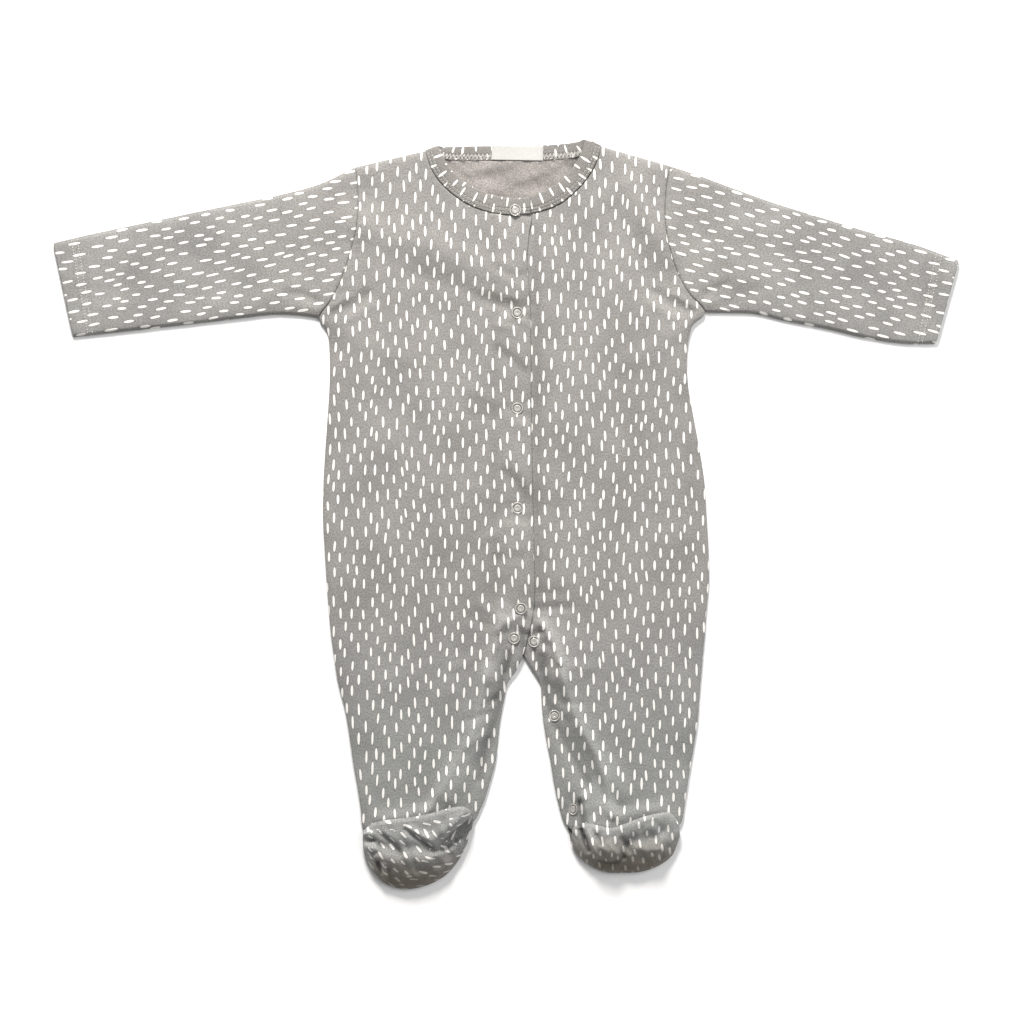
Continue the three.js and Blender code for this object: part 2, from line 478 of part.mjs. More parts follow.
// Sleeves
function sleeve(rows, armholePoints, gapX) {
  const top = splineThrough(rows.map((s) => vector(s.topX, s.topY)));
  const under = splineThrough(rows.map((s) => vector(s.underX, s.underY)));
  const armhole = splineThrough(armholePoints.map((p) => vector(p.x + gapX, p.y)));
  const length = top.getLength();
  const outer = [];
  const inner = [];
  for (let r = 0; r <= SLEEVE_RINGS; r += 1) {
    const t = r / SLEEVE_RINGS;
    const [low, high] = [under.getPointAt(t), top.getPointAt(t)];
    const width = low.distanceTo(high);
    const fade = clamp01(1 - t / ARMHOLE_FADE) ** 2;
    const wall = (1 - t) * length < HEM_DEPTH ? HEM_WALL : WALL;
    // A point of the sleeve's plan, from 0 at the underarm seam to 1 at the top fold.
    const plan = (s) => {
      const straight = under.getPointAt(0).lerp(top.getPointAt(0), s);
      const bow = armhole.getPointAt(1 - s).sub(straight);
      return low.clone().lerp(high, s).addScaledVector(bow, fade);
    };
    const place = (s, z) => {
      const p = plan(s);
      return vector(p.x, p.y, z);
    };
    const [edge, lining] = [SLEEVE_EDGE / 2 / width, (wall + 0.4) / width];
    const outerRing = [place(0, SLEEVE_EDGE / 2)];
    const innerRing = [place(lining * 0.8, SLEEVE_EDGE / 2)];
    for (let c = 0; c <= SLEEVE_COLUMNS; c += 1) {
      const s = THREE.MathUtils.lerp(edge, 1 - edge, c / SLEEVE_COLUMNS);
      const p = plan(s);
      const fall = rounded(Math.min(s, 1 - s) * width);
      const z = SLEEVE_EDGE + Math.max(0, fall * (SLEEVE_TOP - SLEEVE_EDGE + relief(p.x, p.y)));
      const inside = THREE.MathUtils.clamp(s, lining * 1.3, 1 - lining * 1.3);
      outerRing.push(vector(p.x, p.y, z));
      innerRing.push(place(inside, Math.max(z - wall, SLEEVE_EDGE / 2 + 0.15)));
    }
    outerRing.push(place(1, SLEEVE_EDGE / 2));
    innerRing.push(place(1 - lining * 0.8, SLEEVE_EDGE / 2));
    for (let c = 2; c >= 0; c -= 1) {
      const s = THREE.MathUtils.lerp(edge, 1 - edge, c / 2);
      outerRing.push(place(s, 0));
      innerRing.push(place(THREE.MathUtils.clamp(s, lining * 1.3, 1 - lining * 1.3), Math.min(wall, 1.25)));
    }
    outer.push(outerRing);
    inner.push(innerRing);
  }
  return openTube(outer, inner);
}

// Neckband
// The ring from its lapped end at the centre, over the right shoulder, behind the neck and back to its
// covered end. The lapped end climbs over the covered one.
function neckband() {
  const rest = BAND_TOP - BAND_WALL / 2;
  const climb = (x) => (LAP_LIFT + 0.2) * smooth((x - LAP_X + LAP_RAMP) / LAP_RAMP);
  const front = (table, lapped) =>
    table.map((n, i) => ({ ...n, z: rest - (BAND_DROPS[i] || 0) + (lapped ? climb(n.seamX) : 0) }));
  const behind = NECK_BACK.map((n) => ({ ...n, z: BAND_WALL / 2 }));
  const right = front(NECK_RIGHT, true).reverse();
  const stations = [...right, ...behind, ...front(NECK_LEFT, false)];
  const seam = splineThrough(stations.map((n) => vector(n.seamX, n.seamY, n.z)));
  const free = splineThrough(stations.map((n) => vector(n.freeX, n.freeY, n.z)));
  const rows = (stations.length - 1) * BAND_STEPS;
  const middle = [];
  for (let r = 0; r <= rows; r += 1) {
    const [a, b] = [seam.getPoint(r / rows), free.getPoint(r / rows)];
    a.z = Math.max(a.z, BAND_WALL / 2);
    b.z = Math.max(b.z, BAND_WALL / 2);
    middle.push([a, a.clone().lerp(b, 0.5), b]);
  }
  const shifted = (by) =>
    middle.map((row, r) =>
      row.map((p, c) => {
        const q = p.clone().addScaledVector(gridNormal(middle, r, c), by);
        q.z = Math.max(q.z, 0);
        return q;
      }),
    );
  return wallBetween(shifted(BAND_WALL / 2), shifted(-BAND_WALL / 2));
}

function neckLabel() {
  const shape = new THREE.Shape();
  const [w, h] = [LABEL.width / 2, LABEL.height / 2];
  shape.moveTo(-w, -h).lineTo(w, -h).lineTo(w, h).lineTo(-w, h).closePath();
  return new THREE.ExtrudeGeometry(shape, { depth: LABEL.wall, bevelEnabled: false });
}

// Feet
// The height of a sole's upper face at u across and v from the rim to the ridge.
function soleHeight(ridgeZ, v, x, y) {
  const smoothHeight = SEAM_TOP + (ridgeZ - SEAM_TOP) * profileAt(FOOT_PROFILE, v);
  const tall = clamp01((ridgeZ - SOLE_FLAT) / 10) * Math.sin(Math.PI * v);
  const folded = smoothHeight + tall * foldRise(SOLE_FOLDS, x, y);
  return Math.max(folded, Math.min(smoothHeight, SOLE_LOWEST));
}

function footSplines(table) {
  return {
    rim: splineThrough(table.map((f) => vector(f.rimX, f.rimY))),
    ridge: splineThrough(table.map((f) => vector(f.ridgeX, f.ridgeY, f.ridgeZ))),
  };
}

// The sole: from the rim up to the ridge, and round the nose above the upper.
function footSole(table) {
  const { rim, ridge } = footSplines(table);
  const nose = WALL + FOOT_LAYER_GAP / 2;
  const grid = [];
  for (let r = 0; r <= FOOT_ROWS + NOSE_ANGLES.length; r += 1) {
    const row = [];
    for (let c = 0; c <= FOOT_COLUMNS; c += 1) {
      const u = c / FOOT_COLUMNS;
      const [low, high] = [rim.getPoint(u), ridge.getPoint(u)];
      const v = Math.min(1, r / FOOT_ROWS);
      const p = vector(low.x, low.y).lerp(vector(high.x, high.y), v);
      p.z = soleHeight(high.z, v, p.x, p.y);
      if (r > FOOT_ROWS) {
        const angle = THREE.MathUtils.degToRad(NOSE_ANGLES[r - FOOT_ROWS - 1]);
        const ahead = vector(high.x - low.x, high.y - low.y).normalize();
        p.addScaledVector(ahead, nose * Math.cos(angle));
        p.z += nose * (Math.sin(angle) - 1);
      }
      row.push(p);
    }
    grid.push(row);
  }
  return sheet(grid, () => WALL, true);
}

// The upper: from the instep seam on the leg up to the nose, close under the sole.
function footUpper(table) {
  const { rim, ridge } = footSplines(table);
  const below = WALL + FOOT_LAYER_GAP;
  const rows = 4;
  const grid = [];
  for (let r = 0; r <= rows; r += 1) {
    const v = THREE.MathUtils.lerp(INSTEP, 0.97, r / rows);
    const row = [];
    for (let c = 1; c < FOOT_COLUMNS; c += 1) {
      const u = THREE.MathUtils.lerp(0.2, 0.8, (c - 1) / (FOOT_COLUMNS - 2));
      const [low, high] = [rim.getPoint(u), ridge.getPoint(u)];
      const p = vector(low.x, low.y).lerp(vector(high.x, high.y), v);
      p.z = Math.max(soleHeight(high.z, v, p.x, p.y) - below, PUFF_TOP + WALL + GAP);
      row.push(p);
    }
    grid.push(row);
  }
  return sheet(grid, () => WALL, true);
}

// Snaps
// A cap with a raised ring round a sunk middle.
function snapCap() {
  const profile = [
    [0, 0],
    [0.92, 0],
    [1, 0.08],
    [0.9, 0.25],
    [0.7, 0.22],
    [0.62, 0.1],
    [0, 0.14],
  ].map(([r, z]) => new THREE.Vector2(r * SNAP_RADIUS, z * SNAP_RADIUS));
  return new THREE.LatheGeometry(profile, 14).rotateX(Math.PI / 2);
}

// The highest point of some grids under a snap's cap.
function restingHeight(grids, x, y) {
  const raycaster = new THREE.Raycaster();
  let highest = 0;
  for (let i = 0; i < 17; i += 1) {
    const angle = (i * Math.PI) / 8;
    const reach = i === 16 ? 0 : SNAP_RADIUS;
    const from = vector(x + reach * Math.cos(angle), y + reach * Math.sin(angle), 60);
    raycaster.set(from, vector(0, 0, -1));
    const hits = raycaster.intersectObjects(grids, false);
    if (hits.length) highest = Math.max(highest, hits[0].point.z);
  }
  return highest;
}

// The whole garment
const material = (color, roughness) => new THREE.MeshStandardMaterial({ color, roughness });
const jersey = material(0xa29f9a, 0.92);
const snapGrey = material(0xb9b7b1, 0.45);
const labelWhite = material(0xf2f0ea, 0.8);

const rightSections = frontSections(NECK_RIGHT, RIGHT_FRONT);
const leftSections = frontSections(NECK_LEFT, LEFT_FRONT);

// The side of a front from the shoulder to the underarm.
function armholeOf(sections) {
  const side = splineThrough(sections.map((s) => vector(s.sideX, s.sideY)));
  const share = UNDERARM_SECTION / (sections.length - 1);
  return Array.from({ length: 25 }, (_, i) => side.getPoint((share * i) / 24));
}

const garment = new THREE.Group();
garment.name = "sleepsuit";

function add(name, geometry, look = jersey) {
  const mesh = new THREE.Mesh(geometry, look);
  mesh.name = name;
  garment.add(mesh);
  return mesh;
}

add("back", back(rightSections, leftSections));
const rightFront = add("right_front", front(rightSections, true, false));
const leftFront = add("left_front", front(leftSections, false, true));
add("right_sleeve", sleeve(RIGHT_SLEEVE, armholeOf(rightSections), -SLEEVE_GAP));
add("left_sleeve", sleeve(LEFT_SLEEVE, armholeOf(leftSections), SLEEVE_GAP));
const band = add("neckband", neckband());
add("right_foot_sole", footSole(RIGHT_FOOT));
add("left_foot_sole", footSole(LEFT_FOOT));
add("right_foot_upper", footUpper(RIGHT_FOOT));
add("left_foot_upper", footUpper(LEFT_FOOT));
add("neck_label", neckLabel(), labelWhite).position.set(LABEL.x, LABEL.y, BAND_WALL + GAP);

garment.updateMatrixWorld(true);
for (const snap of SNAPS) {
  const cap = add(snap.name, snapCap(), snapGrey);
  const z = restingHeight([rightFront, leftFront, band], snap.x, snap.y);
  cap.position.set(snap.x, snap.y, z + GAP);
}

export default garment;
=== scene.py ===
# %% [markdown]
# # A footed sleepsuit, laid flat
# The CAD part gives the garment's frame. This lesson gives it its looks: fine cloth surfaces with rolled
# seams, folds and puckers, a printed knit, ring snaps, a woven label and the machine stitching. Sizes are in
# millimetres until a mesh is made, +Y is towards the neck, and right and left are the wearer's.

# %% Start
import math

import bmesh
import bpy
import numpy as np
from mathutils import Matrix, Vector, geometry


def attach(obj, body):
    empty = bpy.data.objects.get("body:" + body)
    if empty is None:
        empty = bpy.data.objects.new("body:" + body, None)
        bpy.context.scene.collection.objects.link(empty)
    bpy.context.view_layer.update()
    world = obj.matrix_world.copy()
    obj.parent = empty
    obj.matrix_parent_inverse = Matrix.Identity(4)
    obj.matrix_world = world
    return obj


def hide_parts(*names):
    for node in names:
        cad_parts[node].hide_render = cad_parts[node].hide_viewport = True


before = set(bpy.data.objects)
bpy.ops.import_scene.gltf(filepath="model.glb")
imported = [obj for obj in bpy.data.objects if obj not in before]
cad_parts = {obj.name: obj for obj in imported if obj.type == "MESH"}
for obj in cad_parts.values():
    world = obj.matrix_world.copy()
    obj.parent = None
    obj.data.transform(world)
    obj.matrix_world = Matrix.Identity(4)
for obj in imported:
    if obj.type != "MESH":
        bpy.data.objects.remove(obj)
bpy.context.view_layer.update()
scene = bpy.context.scene
MM = 0.001

# %% [markdown]
# ## Sizes
# A real suit is cut from knit about a millimetre thick and turned double at its hems. The looks could be
# modelled on the solids' faces, but those are coarse, so each piece is made again from the same sizes.

# %% Driving sizes
WALL = 1.2
HEM_WALL = 1.9
HEM_DEPTH = 20.0
GAP = 0.3
SEAM = 0.12  # what shows between two pieces that are sewn together
SEAM_TOP = 2 * WALL + GAP
PUFF_TOP = 5.0
ROLL = 9.0
LAP_X = -4.5
LAP_RAMP = 9.0
LAP_LIFT = HEM_WALL + 3 * GAP
BAND_WALL = 2.0
BAND_TOP = PUFF_TOP + 1
SLEEVE_TOP = 4.8
SLEEVE_EDGE = 2 * WALL + 0.5
PUCKER = 1.7
FOOT_LAYER_GAP = 2.0
INSTEP = 0.55
ARMHOLE_FADE = 0.35
SNAP_RADIUS = 4.75
DITCH = 0.6  # how deep the cloth sinks at a seam
DARKEST_CREASE_SHADE = 1.6  # the darkest painted shade, in a crease or beside the flap
DASH = {
    "pitch_u": 9.8, "pitch_v": 11.15, "stray_u": 1.5, "stray_v": 2.5, "lean": 0.05,
    "length": 8.5, "shortest": 0.46, "longest": 0.515, "width": 1.87, "thinnest": 0.45, "thickest": 0.55,
}
BAND_ROWS = (1.9, 4.7)  # the neckband's stitch rows, from its sewn edge
LAP_PRESS = 0.8  # how much the lap's folded edge is pressed flatter
SOLE_LOWEST = PUFF_TOP + 2 * WALL + 4 * GAP
NOSE = 3.6  # radius of the sole where it turns round the toe
SOLE_ROWS = 100
CUFF_ROWS = (15, 19.2)  # the sleeve hem's stitch rows, from the cuff
BAND_STEPS = 10  # rings of points from one row of the neckband's tables to the next
LABEL = {"width": 41.0, "height": 11.6, "x": 9.1, "y": 288.4, "wall": 0.7, "lift": 0.75}
LABEL_TILT = math.radians(-1.0)
print("Jersey", WALL, "mm, hems", HEM_WALL, "mm, neckband", BAND_WALL, "mm, chest top at", PUFF_TOP, "mm")

# %% [markdown]
# ## Outlines
# A maker draws the cut as a paper pattern. Here short tables give a few points of each edge, and smooth curves
# go through them. That keeps the outline easy to change, where a traced line of many points wouldn't be.

# %% Outline tables
# Neckband in front, from the shoulder fold to the centre: seam x y, free edge x y, and the point of the
# armhole opposite x y.
NECK_RIGHT = [
    (-64, 290.2, -53.2, 293.6, -120.4, 277.2), (-61.8, 281.5, -50.5, 286.5, -119.2, 268),
    (-56, 269.6, -45.5, 277, -118.5, 259), (-45.5, 258, -36.5, 267.6, -118.4, 250),
    (-31, 247.8, -24, 260.2, -118.4, 242), (-14, 241.2, -10, 254.6, -119, 234),
    (4, 238.6, 5, 252, -120, 226), (19.5, 239.4, 19.5, 252.8, -122, 218),
]
NECK_LEFT = [
    (76, 293.8, 62.6, 299.4, 131.6, 278), (73.6, 284.5, 60.6, 290.5, 129.6, 270),
    (68, 273, 56.3, 281.5, 128.2, 262), (58.5, 260.4, 48.3, 271.3, 127.4, 253),
    (44, 248.4, 36.5, 261.4, 127, 244), (26, 241.2, 22, 255, 127.2, 235),
    (10, 239, 9, 252.3, 128, 227), (-2, 239.4, -2, 252.6, 129.6, 218),
]
# Neckband behind, from the right shoulder to the left: seam x y, free edge x y.
NECK_BACK = [
    (-57.5, 284.8, -49.5, 293.4), (-45, 282.8, -42, 293.6), (-22, 282.4, -22, 294), (6, 282.2, 6, 294.4),
    (32, 282.6, 32, 295), (54, 284.4, 50, 296.4), (68, 288.4, 58, 297.8),
]
# Fronts below the neckline: side x y, centre edge or inseam x y, and whether each end is sewn down to the back.
RIGHT_FRONT = [
    (-125.2, 207, 18.2, 222, 0, 0), (-128.4, 196, 16.9, 205, 0, 0), (-133, 184, 17.6, 190, 0, 0),
    (-139.5, 171.5, 19, 174, 0, 0), (-149.5, 156.4, 19.5, 160, 1, 0), (-143.2, 146, 19.8, 147, 1, 0),
    (-141.2, 124, 20, 126, 1, 0), (-141.4, 101, 20, 103, 1, 0), (-143, 76, 20.4, 78, 1, 0),
    (-144.8, 50, 20.8, 52, 1, 0), (-146.2, 24, 21.2, 26, 1, 0), (-146.6, -3, 21.8, 0, 1, 0),
    (-145.2, -30, 22.4, -26, 1, 0), (-143.6, -56, 23, -52, 1, 0), (-141.8, -80, 22, -76, 1, 0),
    (-140, -98, 18.2, -95, 1, 0), (-137.6, -115, 13.7, -113.5, 1, 1), (-135.6, -129, 8.4, -125.5, 1, 1),
    (-132.6, -142, 1.6, -135.5, 1, 1), (-129.4, -154, -0.8, -147, 1, 1), (-126.8, -168, -3.8, -162, 1, 1),
    (-124.6, -184, -5.9, -179, 1, 1), (-122.2, -200, -7.6, -196, 1, 1), (-119.2, -217, -12.4, -214, 1, 1),
    (-116.6, -234, -18, -231.5, 1, 1), (-114.8, -250, -26.5, -247.5, 1, 1), (-107.5, -259, -38, -258, 1, 1),
    (-104, -268, -43, -268, 1, 1),
]
LEFT_FRONT = [
    (131.8, 209, -2, 222, 0, 0), (134.8, 199, -2, 207, 0, 0), (139, 188.5, -2, 192, 0, 0),
    (145.6, 177, -2, 177, 0, 0), (159.4, 160.6, -2, 160, 1, 0), (149.4, 150, -2, 147, 1, 0),
    (144.8, 124, -2, 126, 1, 0), (146.2, 100, -2, 103, 1, 0), (150.6, 75, -1.8, 78, 1, 0),
    (155, 51, -1.6, 52, 1, 0), (158.8, 26, -1.2, 26, 1, 0), (160.4, 0, -0.8, 0, 1, 0),
    (162, -27, -0.4, -26, 1, 0), (162.4, -53, 0.6, -52, 1, 0), (160.6, -77, 4, -76, 1, 0),
    (159.2, -96, 10, -95, 1, 0), (157.6, -114, 14.4, -113.5, 1, 1), (156.4, -128, 21.4, -125.5, 1, 1),
    (155.4, -140, 27.2, -135.5, 1, 1), (154.6, -152, 27.9, -147, 1, 1), (153.4, -166, 29, -162, 1, 1),
    (151, -182, 31.6, -179, 1, 1), (148.6, -197, 34.8, -196, 1, 1), (146, -213, 37.8, -214, 1, 1),
    (143.4, -230, 41.6, -231.5, 1, 1), (140.6, -246, 47, -247.5, 1, 1), (133.5, -255, 57, -257, 1, 1),
    (130, -263, 63, -263, 1, 1),
]
CROTCH_SECTION = 16
UNDERARM_SECTION = len(NECK_RIGHT) + 4
# Sleeves from the armhole to the cuff: top fold x y, underarm seam x y.
RIGHT_SLEEVE = [
    (-120.8, 277.6, -149.9, 156.6), (-149, 264, -166, 158.6), (-178, 255.8, -186, 159.2),
    (-216, 247.8, -214, 156), (-255, 239.8, -248, 152), (-293, 231.8, -284, 148),
    (-330, 224, -318, 144.2), (-362, 216.6, -345.6, 141.2),
]
LEFT_SLEEVE = [
    (132, 278.4, 159.8, 160.8), (152, 271.6, 179, 160.6), (178, 261.8, 200, 159.6), (212, 249.4, 222, 154.4),
    (250, 237.6, 256, 147.8), (288, 226, 288, 140.4), (326, 215.6, 318, 136), (362, 202.4, 343.4, 135.8),
]
# Feet across: heel's rim x y, toe ridge x y z.
RIGHT_FOOT = [
    (-114.6, -261, -114.4, -255, 9), (-113.8, -270, -107, -250, 13), (-108.6, -283, -97.5, -247.4, 19),
    (-98, -295, -85, -245.6, 22), (-81.5, -300.4, -72, -244, 23), (-64, -297.6, -58, -241, 23),
    (-48.5, -289.5, -45, -237.4, 22), (-38, -277.5, -33.5, -236.6, 20), (-30.6, -263, -25.4, -244, 9),
]
LEFT_FOOT = [
    (51.6, -262, 52.6, -253, 9), (56, -271.5, 61, -250, 13), (66, -280.5, 71.5, -251.4, 18),
    (79, -286.4, 83, -253.4, 20), (94, -287.2, 96, -249.4, 21), (109, -286.2, 109, -244.6, 21.5),
    (122.5, -281.2, 121.5, -241.8, 19), (133, -273, 131, -242, 13), (139.2, -258, 138.6, -249.6, 9),
]
FOOT_PROFILE = [(0, 0), (0.08, 0.3), (0.2, 0.52), (0.38, 0.72), (0.6, 0.88), (0.8, 0.97), (1, 1)]  # along, rise
SNAPS = {
    "snap_neck": (7.4, 242.2), "snap_chest": (9, 160.4), "snap_waist": (9, 84.2), "snap_belly": (9.2, 4.6),
    "snap_seat": (11.8, -75.6), "snap_crotch_right": (6.4, -99.3), "snap_crotch_left": (22.4, -102),
    "snap_thigh": (38.6, -161.4), "snap_ankle": (53.4, -236),
}
LAP_SNAPS = ["snap_neck", "snap_chest", "snap_waist", "snap_belly", "snap_seat"]
print("Rows: right front", len(RIGHT_FRONT), "left front", len(LEFT_FRONT), "sleeves", len(RIGHT_SLEEVE))

# %% [markdown]
# ## Folds
# Laid on a table, thin jersey keeps soft ridges and a few sharp creases, most of them at the lap, the crotch
# and the toes. A cloth simulation would put them where it likes. These are listed one by one: the points of
# each one's path, its half width and its rise, which is below 0 in a trough.

# %% Large folds
LARGE_FOLDS = [
    ([(-112, 228), (-60, 212), (-5, 190), (10, 176)], 13, 2.3),
    ([(-70, 190), (-25, 178), (4, 166)], 8, -1.6),
    ([(-112, 258), (-96, 226)], 13, -1.8),
    ([(96, 262), (112, 236), (130, 205)], 9, 2.0),
    ([(86, 240), (104, 216), (118, 184)], 9, -1.6),
    ([(-136, 150), (-112, 132), (-78, 124)], 9, 1.4),
    ([(140, 150), (118, 128), (92, 120)], 9, 1.4),
    ([(-4, -78), (-12, -100), (-14, -130)], 8, 2.6),
    ([(-14, -130), (-20, -170), (-34, -206), (-46, -226)], 9, 3.2),
    ([(-8, -150), (-9, -175), (-20, -200)], 6, -1.8),
    ([(30, -86), (42, -104), (46, -132)], 8, 2.8),
    ([(46, -132), (58, -168), (78, -200), (92, -222)], 10, 3.4),
    ([(36, -140), (48, -176), (66, -206), (84, -226)], 7, -2.0),
    ([(22, -68), (44, -66)], 6, -1.4),
    ([(60, -222), (72, -240), (78, -256)], 8, 2.4),
    ([(-168, 178), (-196, 170), (-232, 166)], 9, 1.2),
    ([(152, 246), (176, 232), (214, 226)], 10, 1.0),
    ([(172, 172), (200, 178)], 7, -1.2),
    ([(-240, 224), (-300, 206)], 14, 0.8),
    ([(236, 216), (300, 196)], 14, 0.8),
]
print(len(LARGE_FOLDS), "large folds")

# %% Small folds
SMALL_FOLDS = [
    ([(-5.5, -84), (-10, -106), (-17, -131), (-22, -155), (-29, -178), (-46, -210), (-57, -228), (-64, -241)],
     3.2, 2.6),
    ([(2, -114), (-2.5, -133), (-5.5, -153), (-13, -179), (-18, -196), (-21, -212)], 3.0, -2.2),
    ([(30.4, -89), (40.5, -110), (48, -138), (58, -166), (73, -192), (79, -213), (82, -228), (85, -241)],
     3.2, 2.8),
    ([(29, -114), (31, -140), (39, -166), (47, -180), (56, -196), (66, -214)], 3.2, -2.3),
    ([(12.5, -92), (14.5, -111)], 2.0, -2.0),
    ([(-22, -72), (-8, -80), (2, -86)], 3.0, 1.2),
    ([(-30, -82), (-12, -90)], 3.0, -1.0),
    ([(-20, 172), (-2, 166), (6, 163)], 3.0, -1.05),
    ([(-24, 181), (-6, 176), (6, 172)], 3.4, 1.0),
    ([(-8, 150), (6, 148)], 3.0, 1.0),
    ([(24.5, 227), (24.5, 60), (24.8, -30), (27, -60)], 4.0, -1.05),
    ([(-6, 196), (8, 190), (16, 192)], 3.4, -1.1),
    ([(0, 159), (13, 155)], 4.0, 1.3),
    ([(-6, 131), (8, 122), (15, 115)], 3.8, -1.5),
    ([(2, 76), (14, 69)], 4.5, 1.4),
    ([(0, 34), (9, 26), (16, 15)], 4.0, -1.7),
    ([(-8, -36), (12, -33)], 3.5, -1.1),
    ([(-112, 176), (-126, 166), (-138, 162)], 3.5, -1.4),
    ([(-108, 166), (-124, 156)], 3.5, 1.3),
    ([(-126, 174), (-141, 163)], 2.2, 1.2),
    ([(120, 178), (134, 168), (148, 163)], 3.5, -1.4),
    ([(116, 168), (136, 156)], 3.5, 1.3),
    ([(134, 176), (150, 165)], 2.2, 1.2),
    ([(-30, 100), (-6, 88)], 4.0, 0.9),
    ([(-28, 78), (-4, 76)], 3.6, -0.7),
    ([(-26, 20), (-4, 8)], 4.0, 0.9),
    ([(-2, -8), (14, -12)], 4.0, 1.3),
    ([(-24, -22), (-4, -16)], 3.6, 0.9),
    ([(22, -76), (40, -74), (54, -75)], 2.4, -1.8),
    ([(24, -69), (44, -68)], 3.0, 1.0),
    ([(9, -93.5), (17, -96)], 1.6, -2.2),
    ([(18, -96), (24, -94.5), (29, -93)], 1.9, -2.2),
    ([(-7.2, -92.8), (3.2, -84), (14, -79)], 2.6, 2.8),
    ([(27, -86), (33.6, -94), (40, -107), (43, -119)], 2.0, 2.2),
    ([(4, -110), (-2, -126)], 2.5, -1.4),
    ([(-6, -104), (-24, -116), (-40, -122)], 4.0, 1.0),
    ([(34, -112), (52, -122), (66, -124)], 4.0, 1.0),
    ([(22, -110), (27, -124)], 2.5, -1.4),
    ([(-14, -158), (-30, -164)], 2.6, -1.3),
    ([(-6, -146), (-18, -154)], 2.4, -1.4),
    ([(-16, -176), (-32, -186)], 3.0, 1.0),
    ([(46, -150), (60, -152)], 3.0, -1.0),
    ([(32, -148), (44, -156)], 2.4, 1.0),
    ([(-62, -236), (-84, -242), (-100, -243)], 5.0, 1.6),
    ([(92, -242), (106, -238), (122, -236)], 5.0, 1.6),
    ([(-152, 170), (-164, 176), (-176, 176)], 3.5, -1.3),
    ([(-150, 164), (-170, 166)], 3.0, 1.1),
    ([(162, 168), (178, 174)], 3.5, 1.1),
    ([(160, 176), (176, 184)], 3.0, -1.1),
    ([(-300, 168), (-330, 164)], 6.0, 0.5),
    ([(260, 176), (310, 160)], 8.0, 0.5),
    ([(58.5, -229), (59.5, -242), (63, -256)], 1.5, -2.8),
    ([(64, -226), (65, -240), (69, -256)], 3.2, 4.0),
    ([(74, -232), (84, -240)], 2.4, 1.0),
    ([(80, -228), (92, -234)], 2.2, -0.8),
    ([(140, 258), (152, 240), (158, 220)], 5.0, -0.8),
    ([(-132, 258), (-146, 236), (-150, 214)], 5.0, -0.6),
]
print(len(SMALL_FOLDS), "small folds")

# %% Folds of the soles
SOLE_FOLDS = [
    ([(-106, -262), (-84, -267), (-52, -262)], 5, -2.6),
    ([(-96, -277), (-76, -274), (-60, -278)], 6, 2.0),
    ([(-27, -245), (-37, -254), (-50, -264)], 5, -7.0),
    ([(68, -268), (80, -262), (92, -264)], 6, 2.4),
    ([(88, -264), (104, -258), (126, -252)], 6, -4.2),
    ([(118, -272), (128, -262)], 5, 1.8),
    ([(84, -268), (80, -266)], 8, 4.0),
]
SMALL_SOLE_FOLDS = [
    ([(-80, -251), (-66, -261), (-57, -268)], 1.8, -2.4),
    ([(-76, -250), (-62, -258), (-54, -263)], 2.4, 1.4),
    ([(-98, -256), (-90, -262), (-84, -270)], 2.2, -1.4),
    ([(-111, -254), (-109, -254.5)], 3.2, 3.4),
    ([(-113, -260), (-105, -260)], 1.6, -2.6),
    ([(-111, -265.5), (-107.5, -265.8)], 3.0, 3.0),
    ([(-113, -272), (-104, -270)], 1.8, -2.0),
    ([(-102, -278), (-101, -285)], 2.4, -3.6),
    ([(-96.5, -279), (-97.5, -291)], 1.2, 1.4),
    ([(-94, -284), (-92, -294)], 1.8, -1.5),
    ([(-100, -254), (-92, -260)], 2.4, -1.0),
    ([(-70, -284), (-52, -280)], 3.0, -1.0),
    ([(-58, -272), (-44, -268)], 2.4, 1.2),
    ([(58.5, -244), (61.5, -256), (66, -268)], 2.1, -4.4),
    ([(66, -252), (68, -264), (72, -272)], 2.4, 1.8),
    ([(72, -256), (76, -262)], 2.0, -1.8),
    ([(74, -276), (84, -279), (94, -274)], 2.2, -1.8),
    ([(96, -262), (93, -272)], 2.6, -1.6),
    ([(82, -262), (88, -270)], 2.4, 1.6),
    ([(92, -258), (98, -268)], 2.0, -1.2),
    ([(104, -266), (124, -268)], 3.0, 1.2),
    ([(108, -276), (124, -272)], 2.4, -1.0),
    ([(74, -280), (96, -279)], 2.6, -0.9),
]
# The right toe is folded over: the edge of that flap, how deep the sole drops beside it, how far that reaches
# and how high the flap's own edge is rolled.
FLAP_EDGE = [(-24.5, -236.5), (-28.8, -241.6), (-36.8, -248), (-44, -253), (-52, -262), (-57.6, -268)]
FLAP_DROP, FLAP_REACH, FLAP_ROLL = 12.0, 16.0, 3.0
STRIP_END = -262.0  # the leg's inner side shows beside the flap down to here
print(len(SOLE_FOLDS) + len(SMALL_SOLE_FOLDS), "folds on the two soles")

# %% [markdown]
# ## Curves
# Seams of a cut garment are smooth lines. The same centripetal Catmull-Rom curves as in the solids run through
# the tables, so that both have one shape. They don't overshoot where rows lie unevenly, as plain ones do.


